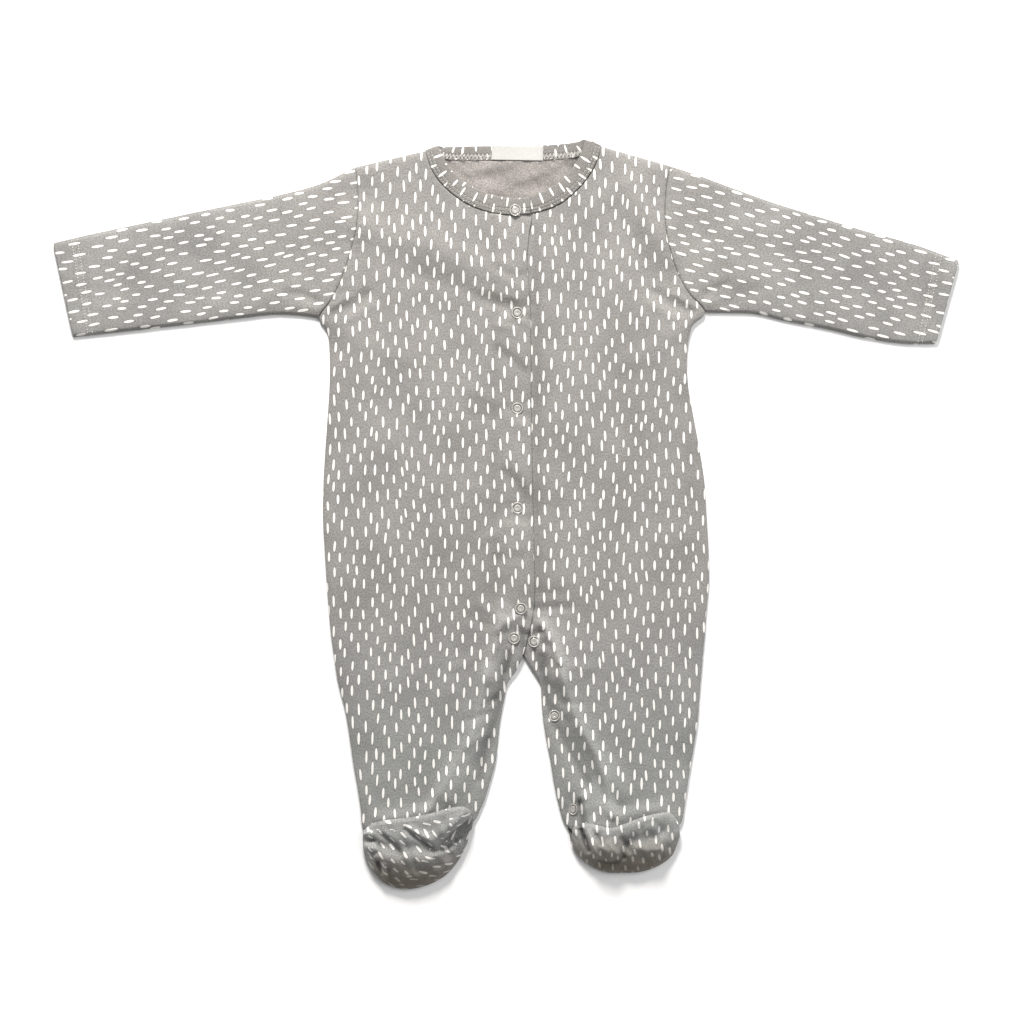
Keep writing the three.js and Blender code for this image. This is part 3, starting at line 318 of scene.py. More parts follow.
# %% Curves
def spline(points):
    """A curve through the points. It is read at shares of the table, 0 at the first row and 1 at the last."""
    p = np.asarray(points, float)
    p = np.vstack([2 * p[0] - p[1], p, 2 * p[-1] - p[-2]])

    def at(t):
        t = np.clip(np.asarray(t, float), 0, 1) * (len(p) - 3)
        i = np.minimum(t.astype(int), len(p) - 4)
        f = (t - i)[..., None]
        p0, p1, p2, p3 = p[i], p[i + 1], p[i + 2], p[i + 3]
        spans = (p1 - p0, p2 - p1, p3 - p2)
        d0, d1, d2 = (np.sqrt(np.linalg.norm(span, axis=-1, keepdims=True)) for span in spans)
        m1 = ((p1 - p0) / d0 - (p2 - p0) / (d0 + d1) + (p2 - p1) / d1) * d1
        m2 = ((p2 - p1) / d1 - (p3 - p1) / (d1 + d2) + (p3 - p2) / d2) * d1
        return p1 + f * m1 + f**2 * (3 * (p2 - p1) - 2 * m1 - m2) + f**3 * (2 * (p1 - p2) + m1 + m2)

    return at


def lengths_along(points):
    """How far along a line each of its points is."""
    return np.concatenate([[0], np.cumsum(np.linalg.norm(np.diff(points, axis=0), axis=1))])


def evenly(curve):
    """The same curve, read at shares of its length."""
    t = np.linspace(0, 1, 600)
    length = lengths_along(curve(t))
    return lambda share: curve(np.interp(np.asarray(share, float) * length[-1], length, t))


def smooth(t):
    """A soft step from 0 to 1."""
    t = np.clip(t, 0, 1)
    return t * t * (3 - 2 * t)


def rounded(distance, reach=ROLL):
    """How high a rolled edge has risen this far in, from 0 to 1."""
    return np.sqrt(np.clip(1 - (1 - np.clip(distance / reach, 0, 1)) ** 2, 0, 1))


def path_distance(x, y, path):
    """Distance from each point to a path, and how far along the path its nearest point is, from 0 to 1."""
    best = np.full(np.shape(x), np.inf)
    share = np.zeros(np.shape(x))
    for k, ((ax, ay), (bx, by)) in enumerate(zip(path, path[1:])):
        t = np.clip(((x - ax) * (bx - ax) + (y - ay) * (by - ay)) / ((bx - ax) ** 2 + (by - ay) ** 2), 0, 1)
        d = np.hypot(x - ax - t * (bx - ax), y - ay - t * (by - ay))
        share = np.where(d < best, (k + t) / (len(path) - 1), share)
        best = np.minimum(best, d)
    return best, share

print("A seam's roll is half up", round(float(ROLL * (1 - math.sqrt(0.75))), 1), "mm from the edge")

# %% [markdown]
# ## Relief
# The cloth's surface is the sum of its folds, soft waves, the swelling lap and the pull of each snap. All of it
# moves real points rather than a bump map, since it shows in the outline and the shadows.


# %% Relief
def fold_rise(folds, x, y):
    return sum(rise * np.exp(-((path_distance(x, y, path)[0] / half) ** 2)) for path, half, rise in folds)


def crease_shade_and_crest_highlight(folds, x, y):
    """Painted shade and highlight: above 0 how dark a point in a narrow crease is painted, below 0 how light a
    point on a sharp crest is painted.
    """
    narrow = [fold for fold in folds if fold[2] < -1 and fold[1] < 5]
    crests = [(path, 2 * half, rise) for path, half, rise in folds if rise > 1.25]
    depth = np.clip(-fold_rise(narrow, x, y) / 3, 0, DARKEST_CREASE_SHADE)
    return depth - np.clip(fold_rise(crests, x, y) / 3, 0, 1)


def waves(x, y, seed, low, high, count=10):
    """Uneven soft waves about 1 high in all directions, with wavelengths from low to high."""
    rng = np.random.default_rng(seed)
    total = np.zeros(np.shape(x))
    for _ in range(count):
        angle, phase = rng.uniform(0, math.pi), rng.uniform(0, 2 * math.pi)
        k = 2 * math.pi / rng.uniform(low, high)
        bend = 6 * np.sin((x * math.sin(angle) - y * math.cos(angle)) / rng.uniform(20, 40) + phase)
        total += np.sin(k * (x * math.cos(angle) + y * math.sin(angle) + bend) + phase)
    return total / math.sqrt(count)


def lap_pucker(x, y):
    """The lap swells between its snaps."""
    ys = [SNAPS[name][1] for name in LAP_SNAPS]
    total = np.zeros(np.shape(x))
    for high, low in zip(ys, ys[1:]):
        share = np.clip((y - low) / (high - low), 0, 1)
        total += PUCKER * np.sin(np.pi * share) ** 2 * np.exp(-(((x - 9.3) / 15) ** 2))
    return total


def snap_dimples(x, y):
    """The cloth sinks round each snap and creases away from it."""
    total = np.zeros(np.shape(x))
    for k, (sx, sy) in enumerate(SNAPS.values()):
        d = np.hypot(x - sx, y - sy)
        a = np.arctan2(y - sy, x - sx)
        total -= 0.7 * np.exp(-((d / 9) ** 2))
        total += 0.55 * np.sin(5 * a + k) * np.exp(-(((d - 9) / 5) ** 2)) * (d > 4)
    return total

def relief(x, y):
    """The whole rise of the cloth over its plain form."""
    small = 0.26 * waves(x, y, 4, 22, 60) + 0.09 * waves(x, y, 9, 8, 16)
    folds = fold_rise(LARGE_FOLDS, x, y) + fold_rise(SMALL_FOLDS, x, y)
    return folds + lap_pucker(x, y) + snap_dimples(x, y) + small


def seam_dip(distance, along, depth=DITCH, width=1.1, seed=0.0):
    """A seam's ditch and the small gathers beside it."""
    gathers = 0.22 * np.sin(along / 1.15 + 1.7 * np.sin(along / 9 + seed)) * np.exp(-distance / 5)
    return -depth * np.exp(-((distance / width) ** 2)) + gathers * (1 - np.exp(-((distance / 1.5) ** 2)))

print("Relief at the middle of the chest:", round(float(relief(np.array(0.0), np.array(100.0))), 2), "mm")

# %% [markdown]
# ## Meshes
# A cloth piece is two grids of points, its outer and inner face, joined round the border. A Solidify modifier
# would be shorter, but it couldn't thin the wall towards a turned edge. The outer face takes the printed side's
# material and the inner face the plain side's, and the map "grain" holds millimetres along the knit.


# %% One piece from its points
def unit(v):
    return v / np.maximum(np.linalg.norm(v, axis=-1, keepdims=True), 1e-9)


def grid_normals(grid, closed=False):
    if closed:
        across = np.roll(grid, -1, axis=1) - np.roll(grid, 1, axis=1)
    else:
        across = np.gradient(grid, axis=1)
    return unit(np.cross(np.gradient(grid, axis=0), across))


def make_piece(name, points, faces, uvs, face_materials, materials, painted_shade_and_highlight=None):
    """A mesh object with its normals outward. An optional point attribute holds painted shade above 0 and a
    painted highlight below 0.
    """
    mesh = bpy.data.meshes.new(name)
    mesh.from_pydata((np.asarray(points) * MM).tolist(), [], faces)
    layer = mesh.uv_layers.new(name="grain")
    corner_vertices = np.empty(len(mesh.loops), int)
    mesh.loops.foreach_get("vertex_index", corner_vertices)
    layer.data.foreach_set("uv", np.asarray(uvs, float)[corner_vertices].ravel())
    if painted_shade_and_highlight is not None:
        mesh.attributes.new("painted_shade_and_highlight", "FLOAT", "POINT").data.foreach_set("value", painted_shade_and_highlight)
    for material in materials:
        mesh.materials.append(material)
    mesh.polygons.foreach_set("material_index", face_materials)
    mesh.polygons.foreach_set("use_smooth", [True] * len(mesh.polygons))
    work = bmesh.new()
    work.from_mesh(mesh)
    if work.calc_volume(signed=True) < 0:
        bmesh.ops.reverse_faces(work, faces=work.faces)
    work.to_mesh(mesh)
    work.free()
    mesh.update()
    print(name, len(mesh.polygons), "faces")
    obj = bpy.data.objects.new(name, mesh)
    scene.collection.objects.link(obj)
    return obj

print("Mesh points are stored in metres,", MM, "to the millimetre")


# %% Grids and shells
def quads(first, rows, columns, closed, flip):
    """The faces of a grid whose vertices start at first."""
    faces = []
    last = columns if closed else columns - 1
    for r in range(rows - 1):
        for c in range(last):
            n = (c + 1) % columns
            near, far = first + r * columns, first + (r + 1) * columns
            face = [near + c, near + n, far + n, far + c]
            faces.append(face[::-1] if flip else face)
    return faces


def shell(name, outer, inner, outer_uv, materials, closed=False, painted_shade_and_highlight=None):
    """A cloth piece from two grids. A closed one is a tube with open ends."""
    rows, columns = outer.shape[:2]
    size = rows * columns
    faces = quads(0, rows, columns, closed, False)
    kinds = [0] * len(faces)
    back = quads(size, rows, columns, closed, True)
    faces += back
    kinds += [1] * len(back)
    rim = []
    last = columns if closed else columns - 1
    for c in range(last):
        n = (c + 1) % columns
        end = (rows - 1) * columns
        rim.append([n, c, size + c, size + n])
        rim.append([end + c, end + n, size + end + n, size + end + c])
    if not closed:
        for r in range(rows - 1):
            a, b = r * columns, (r + 1) * columns
            rim.append([a, b, size + b, size + a])
            a, b = a + columns - 1, b + columns - 1
            rim.append([b, a, size + a, size + b])
    faces += rim
    kinds += [0] * len(rim)
    points = np.concatenate([outer.reshape(-1, 3), inner.reshape(-1, 3)])
    uv = outer_uv.reshape(-1, 2)
    # Only the outer face carries the painted shade and highlight; the inner face gets none.
    if painted_shade_and_highlight is not None:
        painted_shade_and_highlight = np.concatenate([painted_shade_and_highlight.ravel(), np.zeros(size)])
    return make_piece(name, points, faces, np.concatenate([uv, uv]), kinds, materials, painted_shade_and_highlight)


def places(width, near, middle):
    """Distances across a piece: near values from each edge, and even ones between."""
    near = np.asarray(near, float)
    width = np.asarray(width, float)[:, None]
    inside = near[-1] + (width - 2 * near[-1]) * np.linspace(0, 1, middle + 2)[1:-1]
    return np.concatenate([np.broadcast_to(near, (len(width), len(near))), inside, width - near[::-1]], axis=1)


def turned_edge(distance, wall):
    """How much of the wall is left this near to a folded edge."""
    return rounded(distance, wall / 2 + 0.05)


NEAR_EDGE = [0, 0.06, 0.2, 0.45, 0.8, 1.3, 2.2, 3.6, 5.4, 7.6, 10]

print("Points near an edge lie at", NEAR_EDGE, "mm from it")

# %% [markdown]
# ## Shader helpers
# A printed knit is best made by maths, since an image would blur from close up and stretch over the seams.
# These helpers let a shader tree be written as sums.


# %% Shader helpers
def set_inputs(tree, node, inputs):
    """Links or sets a node's inputs, each by its number or name."""
    for key, value in dict(inputs).items():
        value = getattr(value, "socket", value)
        if isinstance(value, bpy.types.NodeSocket):
            tree.links.new(value, node.inputs[key])
        else:
            node.inputs[key].default_value = value


def add_node(tree, kind, inputs=(), **settings):
    node = tree.nodes.new(kind)
    for key, value in settings.items():
        setattr(node, key, value)
    set_inputs(tree, node, inputs)
    return node


class Value:
    """A number or colour in a shader tree, for sums in plain signs."""

    def __init__(self, maths, socket):
        self.maths = maths
        self.socket = socket

    def op(self, operation, *others):
        return self.maths.make("ShaderNodeMath", enumerate((self, *others)), operation=operation)

    def __add__(self, other):
        return self.op("ADD", other)

    def __sub__(self, other):
        return self.op("SUBTRACT", other)

    def __mul__(self, other):
        return self.op("MULTIPLY", other)

    def __truediv__(self, other):
        return self.op("DIVIDE", other)


class Maths:
    """Short forms for a shader tree's nodes. Each gives a Value."""

    def __init__(self, tree):
        self.tree = tree

    def make(self, kind, inputs=(), output=0, **settings):
        return Value(self, add_node(self.tree, kind, inputs, **settings).outputs[output])

    def scale(self, value, low, high, to_low=0.0, to_high=1.0, kind="SMOOTHSTEP"):
        inputs = enumerate((value, low, high, to_low, to_high))
        return self.make("ShaderNodeMapRange", inputs, interpolation_type=kind)

    def between(self, share, low, high):
        return self.scale(share, 0.0, 1.0, low, high, "LINEAR")

    def mix(self, share, a, b):
        return self.make("ShaderNodeMix", {0: share, 6: a, 7: b}, 2, data_type="RGBA")

    def shade(self, color, factor):
        return self.make("ShaderNodeVectorMath", {0: color, "Scale": factor}, operation="SCALE")

    def noise(self, vector, scale, detail=2.0, rough=0.5, output=0):
        inputs = {"Vector": vector, "Scale": scale, "Detail": detail, "Roughness": rough}
        return self.make("ShaderNodeTexNoise", inputs, output)

    def random(self, x, y, z):
        inputs = {"Vector": self.join(x, y, z)}
        return self.split(self.make("ShaderNodeTexWhiteNoise", inputs, "Color", noise_dimensions="3D"))

    def join(self, x, y, z=0.0):
        return self.make("ShaderNodeCombineXYZ", enumerate((x, y, z)))

    def split(self, vector):
        return [Value(self, out) for out in add_node(self.tree, "ShaderNodeSeparateXYZ", {0: vector}).outputs]

    def bump(self, height, strength, distance, below=None):
        inputs = {"Strength": strength, "Distance": distance, "Height": height}
        if below is not None:
            inputs["Normal"] = below
        return self.make("ShaderNodeBump", inputs)

    def grain(self):
        return self.make("ShaderNodeUVMap", uv_map="grain")

    def place(self):
        return self.make("ShaderNodeTexCoord", output="Object")

    def cloudy(self, tone, color, share):
        """The colour, and in places that share of it."""
        return self.mix(self.scale(tone, 0.3, 0.7), color, [c * share for c in color[:3]] + [1])


def new_material(name):
    material = bpy.data.materials.new(name)
    material.use_nodes = True
    tree = material.node_tree
    tree.nodes.clear()
    shader = add_node(tree, "ShaderNodeBsdfPrincipled")
    add_node(tree, "ShaderNodeOutputMaterial", {"Surface": shader.outputs["BSDF"]})
    print("Material", name)
    return material, Maths(tree), shader


TURN = 2 * math.pi
print("One turn of a wave is", round(TURN, 3))

# %% [markdown]
# ## Printed jersey
# The cloth is a fine single knit in heathered grey with small white dashes printed on. The print is a staggered
# net of cells in the map "grain". Each holds one rounded dash, shifted and turned a little by its own random
# numbers. Under it are rows of small V stitches that only show close up.


# %% Knit and print
def knit_height(u, v, wale=0.95, course=0.75):
    """Rows of small V stitches: columns one wale wide, each leaning to its middle."""
    side = u.op("PINGPONG", wale / 2)
    loop = ((v + side * 1.1) * (TURN / course)).op("SINE")
    return loop * 0.35 + (side * (TURN / wale)).op("SINE") * 0.65


def dash_layer(m, u, v, seed):
    """Below 1 inside a dash. Two such nets of dashes, set apart by half, make the print."""
    cell_u, cell_v = u / DASH["pitch_u"], v / (2 * DASH["pitch_v"])
    column, row = cell_u.op("FLOOR"), cell_v.op("FLOOR")
    across, along, lean = m.random(column, row, seed)
    long, wide, _ = m.random(column, row, seed + 40.0)
    x = (cell_u.op("FRACT") - 0.5) * DASH["pitch_u"] - m.between(across, -DASH["stray_u"], DASH["stray_u"])
    y = (cell_v.op("FRACT") - 0.5) * (2 * DASH["pitch_v"]) - m.between(along, -DASH["stray_v"], DASH["stray_v"])
    x = x + y * m.between(lean, -DASH["lean"], DASH["lean"])
    half_length = m.between(long, DASH["shortest"] * DASH["length"], DASH["longest"] * DASH["length"])
    half_width = m.between(wide, DASH["thinnest"] * DASH["width"], DASH["thickest"] * DASH["width"])
    return (y / half_length).op("ABSOLUTE").op("POWER", 2.6) + (x / half_width).op("ABSOLUTE").op("POWER", 2.0)


SWAYS = ((0.16, 0.021, 3.2), (0.087, 0.034, 4.5))  # the columns' sway along the dashes: step, turn, height


def dash_mask(m, u, v):
    """The print, 1 inside a dash and 0 outside, and how dark the cloth is close round it."""
    drift = m.split(m.noise(m.join(u / 62.0, v / 62.0), 1.0, 1.0, output="Color"))
    u = u + m.between(drift[0], -2.6, 2.6)
    v = v + m.between(drift[1], -5.0, 5.0)
    for step, turn, height in SWAYS:
        v = v + (u * step + (v * turn).op("SINE") * 0.9).op("SINE") * height
    second = dash_layer(m, u + DASH["pitch_u"] / 2, v + DASH["pitch_v"], 17.0)
    ragged = (m.noise(m.join(u, v), 1.6, 1.0) - 0.5) * 0.3
    form = dash_layer(m, u, v, 3.0).op("MINIMUM", second) + ragged
    return m.scale(form, 0.84, 1.14, 1.0, 0.0), m.scale(form, 1.0, 2.9, 0.84, 1.0)


print("Dashes on a square decimetre:", round(10000 / (DASH["pitch_u"] * DASH["pitch_v"])))


# %% Jersey
INK = (0.76, 0.74, 0.7, 1)
# The brown of the painted shade at the heels.
HEEL_SHADE_BROWN = (0.105, 0.074, 0.044, 1)


def printed_over(m, shader, base, normal, u, v, seed):
    """The dashes over a plain jersey: its colour and bump with them."""
    mask, rim = dash_mask(m, u, v)
    worn = m.scale(m.noise(m.join(u, v, seed), 2.2, 2.0, 0.7), 0.1, 0.45, 0.86, 1.0)
    set_inputs(m.tree, shader, {"Roughness": m.between(mask, 0.88, 0.62)})
    return m.mix(mask * worn, m.shade(base, rim), INK), m.bump(mask, 0.3, 0.0001, normal)


def jersey(name, cloth, printed=True, seed=0.0, heel_shade=False):
    """Knit that is a little cooler towards the feet and sleeves, with painted shade in creases and between its
    stitches, a painted highlight on crests, and on the soles painted shade towards the heels.
    """
    material, m, shader = new_material(name)
    grain, place = m.grain(), m.place()
    u, v, _ = m.split(grain)
    x, y, _ = m.split(place)
    tone = m.noise(place, 26.0, 3.0)
    fleck = m.noise(m.join(u, v * 0.8, seed), 0.95, 2.0, 0.7)
    outward = m.scale(x.op("ABSOLUTE"), 0.14, 0.22, 0.0, 0.55)
    cool = m.scale(y, -0.2, 0.0, 1.0, 0.0).op("MAXIMUM", outward)
    dyed = m.mix(cool, cloth, [cloth[0] * 0.965, cloth[1] * 1.02, cloth[2] * 1.03, 1])
    knit = knit_height(u, v)
    # Tone differs at random; where the knit's stitches sink the colour is a little darker, painted shade
    # between the loops.
    depth = m.scale(tone, 0.3, 0.7, 0.92, 1.12) * m.scale(knit, -1.0, -0.2, 0.89, 1.0)
    base = m.shade(dyed, depth * m.scale(fleck, 0.28, 0.72, 1.18, 0.64))
    normal = m.bump(m.noise(place, 420.0, 2.0), 0.25, 0.0004, m.bump(knit, 0.35, 0.00012))
    set_inputs(m.tree, shader, {"Roughness": 0.93})
    if printed:
        base, normal = printed_over(m, shader, base, normal, u, v, seed)
    # Painted shade: the colour darkens and turns brown towards the heels' rims, reaching higher up the left
    # foot.
    if heel_shade:
        low = y + m.scale(x, -0.05, 0.05, 0.0, -0.013)
        base = m.mix(m.scale(low, -0.298, -0.262, 0.68, 0.0), base, HEEL_SHADE_BROWN)
    # Painted shade and painted highlight from the point attribute: darker in narrow creases and beside the
    # toe's flap, lighter on sharp crests.
    painted_shade_and_highlight = m.make("ShaderNodeAttribute", output="Fac", attribute_name="painted_shade_and_highlight")
    crease_shade_factor = m.scale(painted_shade_and_highlight, 0.0, DARKEST_CREASE_SHADE, 1.0, 0.28, "LINEAR")
    light = m.scale(painted_shade_and_highlight, -1.0, 0.0, 1.28, 1.0, "LINEAR")
    set_inputs(m.tree, shader, {"Base Color": m.shade(base, crease_shade_factor * light), "Normal": normal})
    set_inputs(m.tree, shader, {"Sheen Weight": 0.18, "Sheen Roughness": 0.5, "Specular IOR Level": 0.25})
    return material


PRINTED = jersey("printed_jersey", (0.252, 0.241, 0.229, 1))
# The soles' jersey is a lighter copy of the printed jersey, painted light on their sloping faces; towards the
# heels it takes painted shade.
PRINTED_SOLE = jersey("printed_jersey_sole", (0.29, 0.277, 0.264, 1), heel_shade=True)
PRINTED_BAND = jersey("printed_jersey_band", (0.212, 0.2, 0.188, 1))
PLAIN = jersey("plain_jersey", (0.254, 0.236, 0.221, 1), printed=False, seed=5.0)
CLOTH = [PRINTED, PLAIN]

# %% [markdown]
# ## Label satin, snap paint and thread
# The label is woven satin, the snaps are stamped metal under grey paint, and the thread is twisted polyester.
# Each gets its own fine grain and a soft unevenness of tone, because one flat colour would look like plastic.


# %% Satin, paint and thread
def woven(name, color, pitch):
    """A satin label: fine rows across it, softly uneven."""
    material, m, shader = new_material(name)
    u, v, _ = m.split(m.grain())
    rows = (v * (TURN / pitch)).op("SINE")
    warp = ((u + v * 0.5) * (TURN / (pitch * 0.8))).op("SINE")
    tone = m.noise(m.join(u, v), 0.35, 3.0)
    set_inputs(m.tree, shader, {
        "Base Color": m.cloudy(tone, color, 0.93),
        "Normal": m.bump(rows * 0.6 + warp * 0.4, 0.3, 0.0001),
        "Roughness": m.scale(tone, 0.2, 0.8, 0.5, 0.65, "LINEAR"),
    })
    return material


def enamel(name, color):
    """Painted snap metal, with faint handling marks."""
    material, m, shader = new_material(name)
    place = m.place()
    marks = m.noise(place, 900.0, 3.0, 0.7)
    set_inputs(m.tree, shader, {
        "Base Color": m.cloudy(m.noise(place, 160.0, 2.0), color, 0.88),
        "Roughness": m.scale(marks, 0.3, 0.7, 0.3, 0.48, "LINEAR"),
        "Normal": m.bump(marks, 0.08, 0.0001),
        "Metallic": 0.25,
        "Coat Weight": 0.3,
    })
    return material


def thread(name, color):
    """Sewing thread with a fine twist."""
    material, m, shader = new_material(name)
    place = m.place()
    x, y, z = m.split(place)
    twist = ((x + (y + z)) * 9000.0).op("SINE")
    set_inputs(m.tree, shader, {
        "Base Color": m.cloudy(m.noise(place, 300.0, 2.0), color, 0.8),
        "Normal": m.bump(twist, 0.3, 0.0001),
        "Roughness": 0.7,
        "Sheen Weight": 0.1,
    })
    return material


LABEL_WHITE = woven("label_satin", (0.47, 0.46, 0.44, 1), 0.5)
SNAP_GREY = enamel("snap_enamel", (0.43, 0.415, 0.39, 1))
# A dark copy of the snap paint: painted shade in each snap's groove and at its rim's foot.
SNAP_GROOVE_SHADE = enamel("snap_groove_painted_shade", (0.12, 0.115, 0.105, 1))
LOOPER = thread("looper_thread", (0.58, 0.56, 0.53, 1))
LABEL_THREAD = thread("label_thread", (0.5, 0.5, 0.49, 1))

# %% [markdown]
# ## Fronts
# Each front is one cut from the shoulder to the instep, and the right one laps over the left. A draped sheet
# would slide off its seams, so a front is a grid from its side to its centre edge or inseam. It bulges between
# the edges that are sewn down, climbs over the left front at the lap, and sinks along the armhole and neckband.


# %% Fronts
def front_sections(neck, rows):
    """A front's whole table, from the shoulder down."""
    sections = []
    for seam_x, seam_y, free_x, free_y, side_x, side_y in neck:
        way = unit(np.array([seam_x - free_x, seam_y - free_y]))
        sections.append((side_x, side_y, seam_x + way[0] * SEAM, seam_y + way[1] * SEAM, 0, 0))
    return np.array(sections + list(rows), float)


def front_height(x, y, fall, lap):
    return SEAM_TOP + np.maximum(0, fall * (PUFF_TOP - SEAM_TOP + relief(x, y))) + lap * LAP_LIFT


def front_grid(neck, rows, lapped, per_section=8, middle=44):
    sections = front_sections(neck, rows)
    last = len(sections) - 1
    t = np.linspace(0, 1, last * per_section + 1)
    side = spline(sections[:, 0:2])(t)
    edge = spline(sections[:, 2:4])(t)
    side_roll = np.interp(t * last, np.arange(last + 1), sections[:, 4])[:, None]
    edge_roll = np.interp(t * last, np.arange(last + 1), sections[:, 5])[:, None]
    width = np.linalg.norm(edge - side, axis=1)
    from_side = places(width, NEAR_EDGE, middle)
    from_edge = width[:, None] - from_side
    plan = side[:, None] + (edge - side)[:, None] * (from_side / width[:, None])[..., None]
    x, y = plan[..., 0], plan[..., 1]
    shoulder = [tuple(side[0]), tuple(edge[0])]
    from_shoulder = path_distance(x, y, shoulder)[0]
    closing = smooth((2 * (len(neck) + CROTCH_SECTION) + 3 - 2 * t * last) / 3)[:, None]
    lap = closing * smooth((x - LAP_X + LAP_RAMP) / LAP_RAMP) if lapped else np.zeros_like(x)
    roll = (1 - side_roll * (1 - rounded(from_side))) * (1 - edge_roll * (1 - rounded(from_edge)))
    z = front_height(x, y, rounded(from_shoulder) * roll, lap)
    armhole = t * last <= UNDERARM_SECTION
    z += np.where(armhole[:, None], seam_dip(from_side, y, seed=1.0), 0)
    neckline = t * last <= len(neck) - 1
    z += np.where(neckline[:, None], seam_dip(from_edge, x * 0.7 - y * 0.7, seed=2.0), 0)
    z = np.maximum(z, SEAM_TOP - 0.35)
    pressed = LAP_PRESS * lap * np.exp(-((from_edge / 4) ** 2))
    wall = WALL + (HEM_WALL - WALL) * lap - pressed * 0.8
    top = np.dstack([plan, z - pressed])
    down = -grid_normals(top) * np.sign(grid_normals(top)[..., 2:3])
    left = turned_edge(np.minimum(from_side, from_edge), wall)
    outer = top + down * (wall * (1 - left) / 2)[..., None]
    inner = top + down * (wall * (1 + left) / 2)[..., None]
    return outer, inner, top


made = {}  # the finished pieces, by the CAD node that each stands for
tops = []
for name, neck, rows, lapped, shift in (
    ("right_front", NECK_RIGHT, RIGHT_FRONT, True, [0, 0]),
    ("left_front", NECK_LEFT, LEFT_FRONT, False, [4.1, 31.7]),
):
    outer, inner, top = front_grid(neck, rows, lapped)
    # Each front gets painted shade in its narrow creases and a painted highlight on its sharp crests.
    painted_shade_and_highlight = crease_shade_and_crest_highlight(SMALL_FOLDS, outer[..., 0], outer[..., 1])
    made[name] = shell(name + "_cloth", outer, inner, outer[..., :2] + shift, CLOTH, painted_shade_and_highlight=painted_shade_and_highlight)
    tops.append(top)

# %% [markdown]
# ## Back
# The back is one panel under both fronts, so only its edges and the stretch inside the neck are seen, wrong
# side up. A grid would fit its two legs badly. It is a triangulated sheet with finer points and soft waves
# where the neck leaves it bare.


# %% Outline of the back
def back_outline():
    """The back's border, just inside the fronts' edges."""
    inset = 0.4

    def down(sections, first, count=150):
        return evenly(spline(sections[:, first : first + 2]))(np.linspace(0, 1, count))

    def heel(foot):
        rim = np.array(foot)[:, :2] + [0, 1.2]
        return evenly(spline(rim))(np.linspace(0, 1, 40))

    right = front_sections(NECK_RIGHT, RIGHT_FRONT)
    left = front_sections(NECK_LEFT, LEFT_FRONT)
    legs = slice(len(NECK_RIGHT) + CROTCH_SECTION, None)
    right_side, left_side = down(right, 0), down(left, 0)
    right_inseam, left_inseam = down(right[legs], 2, 60), down(left[legs], 2, 60)
    right_side = right_side[right_side[:, 1] > -254] + [inset, 0]
    left_side = left_side[left_side[:, 1] > -252] - [inset, 0]
    right_inseam = right_inseam[right_inseam[:, 1] > -250] - [inset, 0]
    left_inseam = left_inseam[left_inseam[:, 1] > -250] + [inset, 0]

    def clear(row, by):
        seam, free = np.array(row[0:2], float), np.array(row[2:4], float)
        return seam + unit(seam - free) * by

    behind = [clear(row, 3 if k in (0, len(NECK_BACK) - 1) else SEAM) for k, row in enumerate(NECK_BACK)]
    neck = [clear(NECK_LEFT[0], 3)] + behind[::-1] + [clear(NECK_RIGHT[0], 3)]
    parts = [right_side, heel(RIGHT_FOOT), right_inseam[::-1]]
    parts += [left_inseam[1:], heel(LEFT_FOOT), left_side[::-1]]
    return np.concatenate(parts + [np.array(neck)])


def inside(points, polygon):
    """Which points lie inside a polygon."""
    x, y = points[:, 0], points[:, 1]
    hit = np.zeros(len(points), bool)
    for (ax, ay), (bx, by) in zip(polygon, np.roll(polygon, -1, axis=0)):
        crosses = (ay > y) != (by > y)
        hit ^= crosses & (x < (bx - ax) * (y - ay) / (by - ay + 1e-12) + ax)
    return hit

print("The back's border has", len(back_outline()), "points")


# %% Back
def back_height(x, y):
    """Soft waves in the bare stretch inside the neck."""
    bare = smooth((y - 236) / 20) * smooth((60 - np.abs(x - 5)) / 20)
    mottle = 0.8 * waves(x, 1.6 * y, 21, 14, 38) + 0.3 * waves(x, y, 25, 7, 13)
    return WALL + bare * np.maximum(1.5 + mottle + 0.5 * np.exp(-(((x - 6) / 9) ** 2)), 0)


def back_piece():
    """The back, with its plain side up."""
    outline = back_outline()
    step = 6.0
    gx, gy = np.meshgrid(np.arange(-160, 170, step), np.arange(-300, 296, step))
    gx[::2] += step / 2
    coarse = np.column_stack([gx.ravel(), gy.ravel()])
    fx, fy = np.meshgrid(np.arange(-56, 66, 2.0), np.arange(236, 284, 2.0))
    fine = np.column_stack([fx.ravel(), fy.ravel()])
    in_neck = (np.abs(coarse[:, 0] - 5) < 62) & (coarse[:, 1] > 235)
    free = np.concatenate([coarse[~in_neck], fine])
    free = free[inside(free, outline)]
    nearest = np.min(np.linalg.norm(free[:, None] - outline[None], axis=2), axis=1)
    free = free[nearest > 1.6]
    points = [Vector(p) for p in np.concatenate([outline, free])]
    border = [(k, (k + 1) % len(outline)) for k in range(len(outline))]
    plan, _, triangles, _, _, _ = geometry.delaunay_2d_cdt(points, border, [], 1, 1e-4)
    xy = np.array([tuple(p) for p in plan])
    count = len(xy)
    top = np.column_stack([xy, back_height(xy[:, 0], xy[:, 1])])
    bottom = np.column_stack([xy, np.zeros(count)])
    faces = [[k + count for k in face] for face in triangles] + [list(face)[::-1] for face in triangles]
    kinds = [0] * len(triangles) + [1] * len(triangles)
    edges = {}
    for face in triangles:
        for a, b in zip(face, list(face[1:]) + [face[0]]):
            edges[(a, b)] = edges.get((a, b), 0) + 1
    rim = [(a, b) for a, b in edges if (b, a) not in edges]
    faces += [[b, a, a + count, b + count] for a, b in rim]
    kinds += [0] * len(rim)
    points = np.concatenate([top, bottom])
    uv = points[:, :2] * [-1, 1] + [2.0, 5.0]
    return make_piece("back_cloth", points, [f[::-1] for f in faces], uv, kinds, CLOTH)


made["back"] = back_piece()

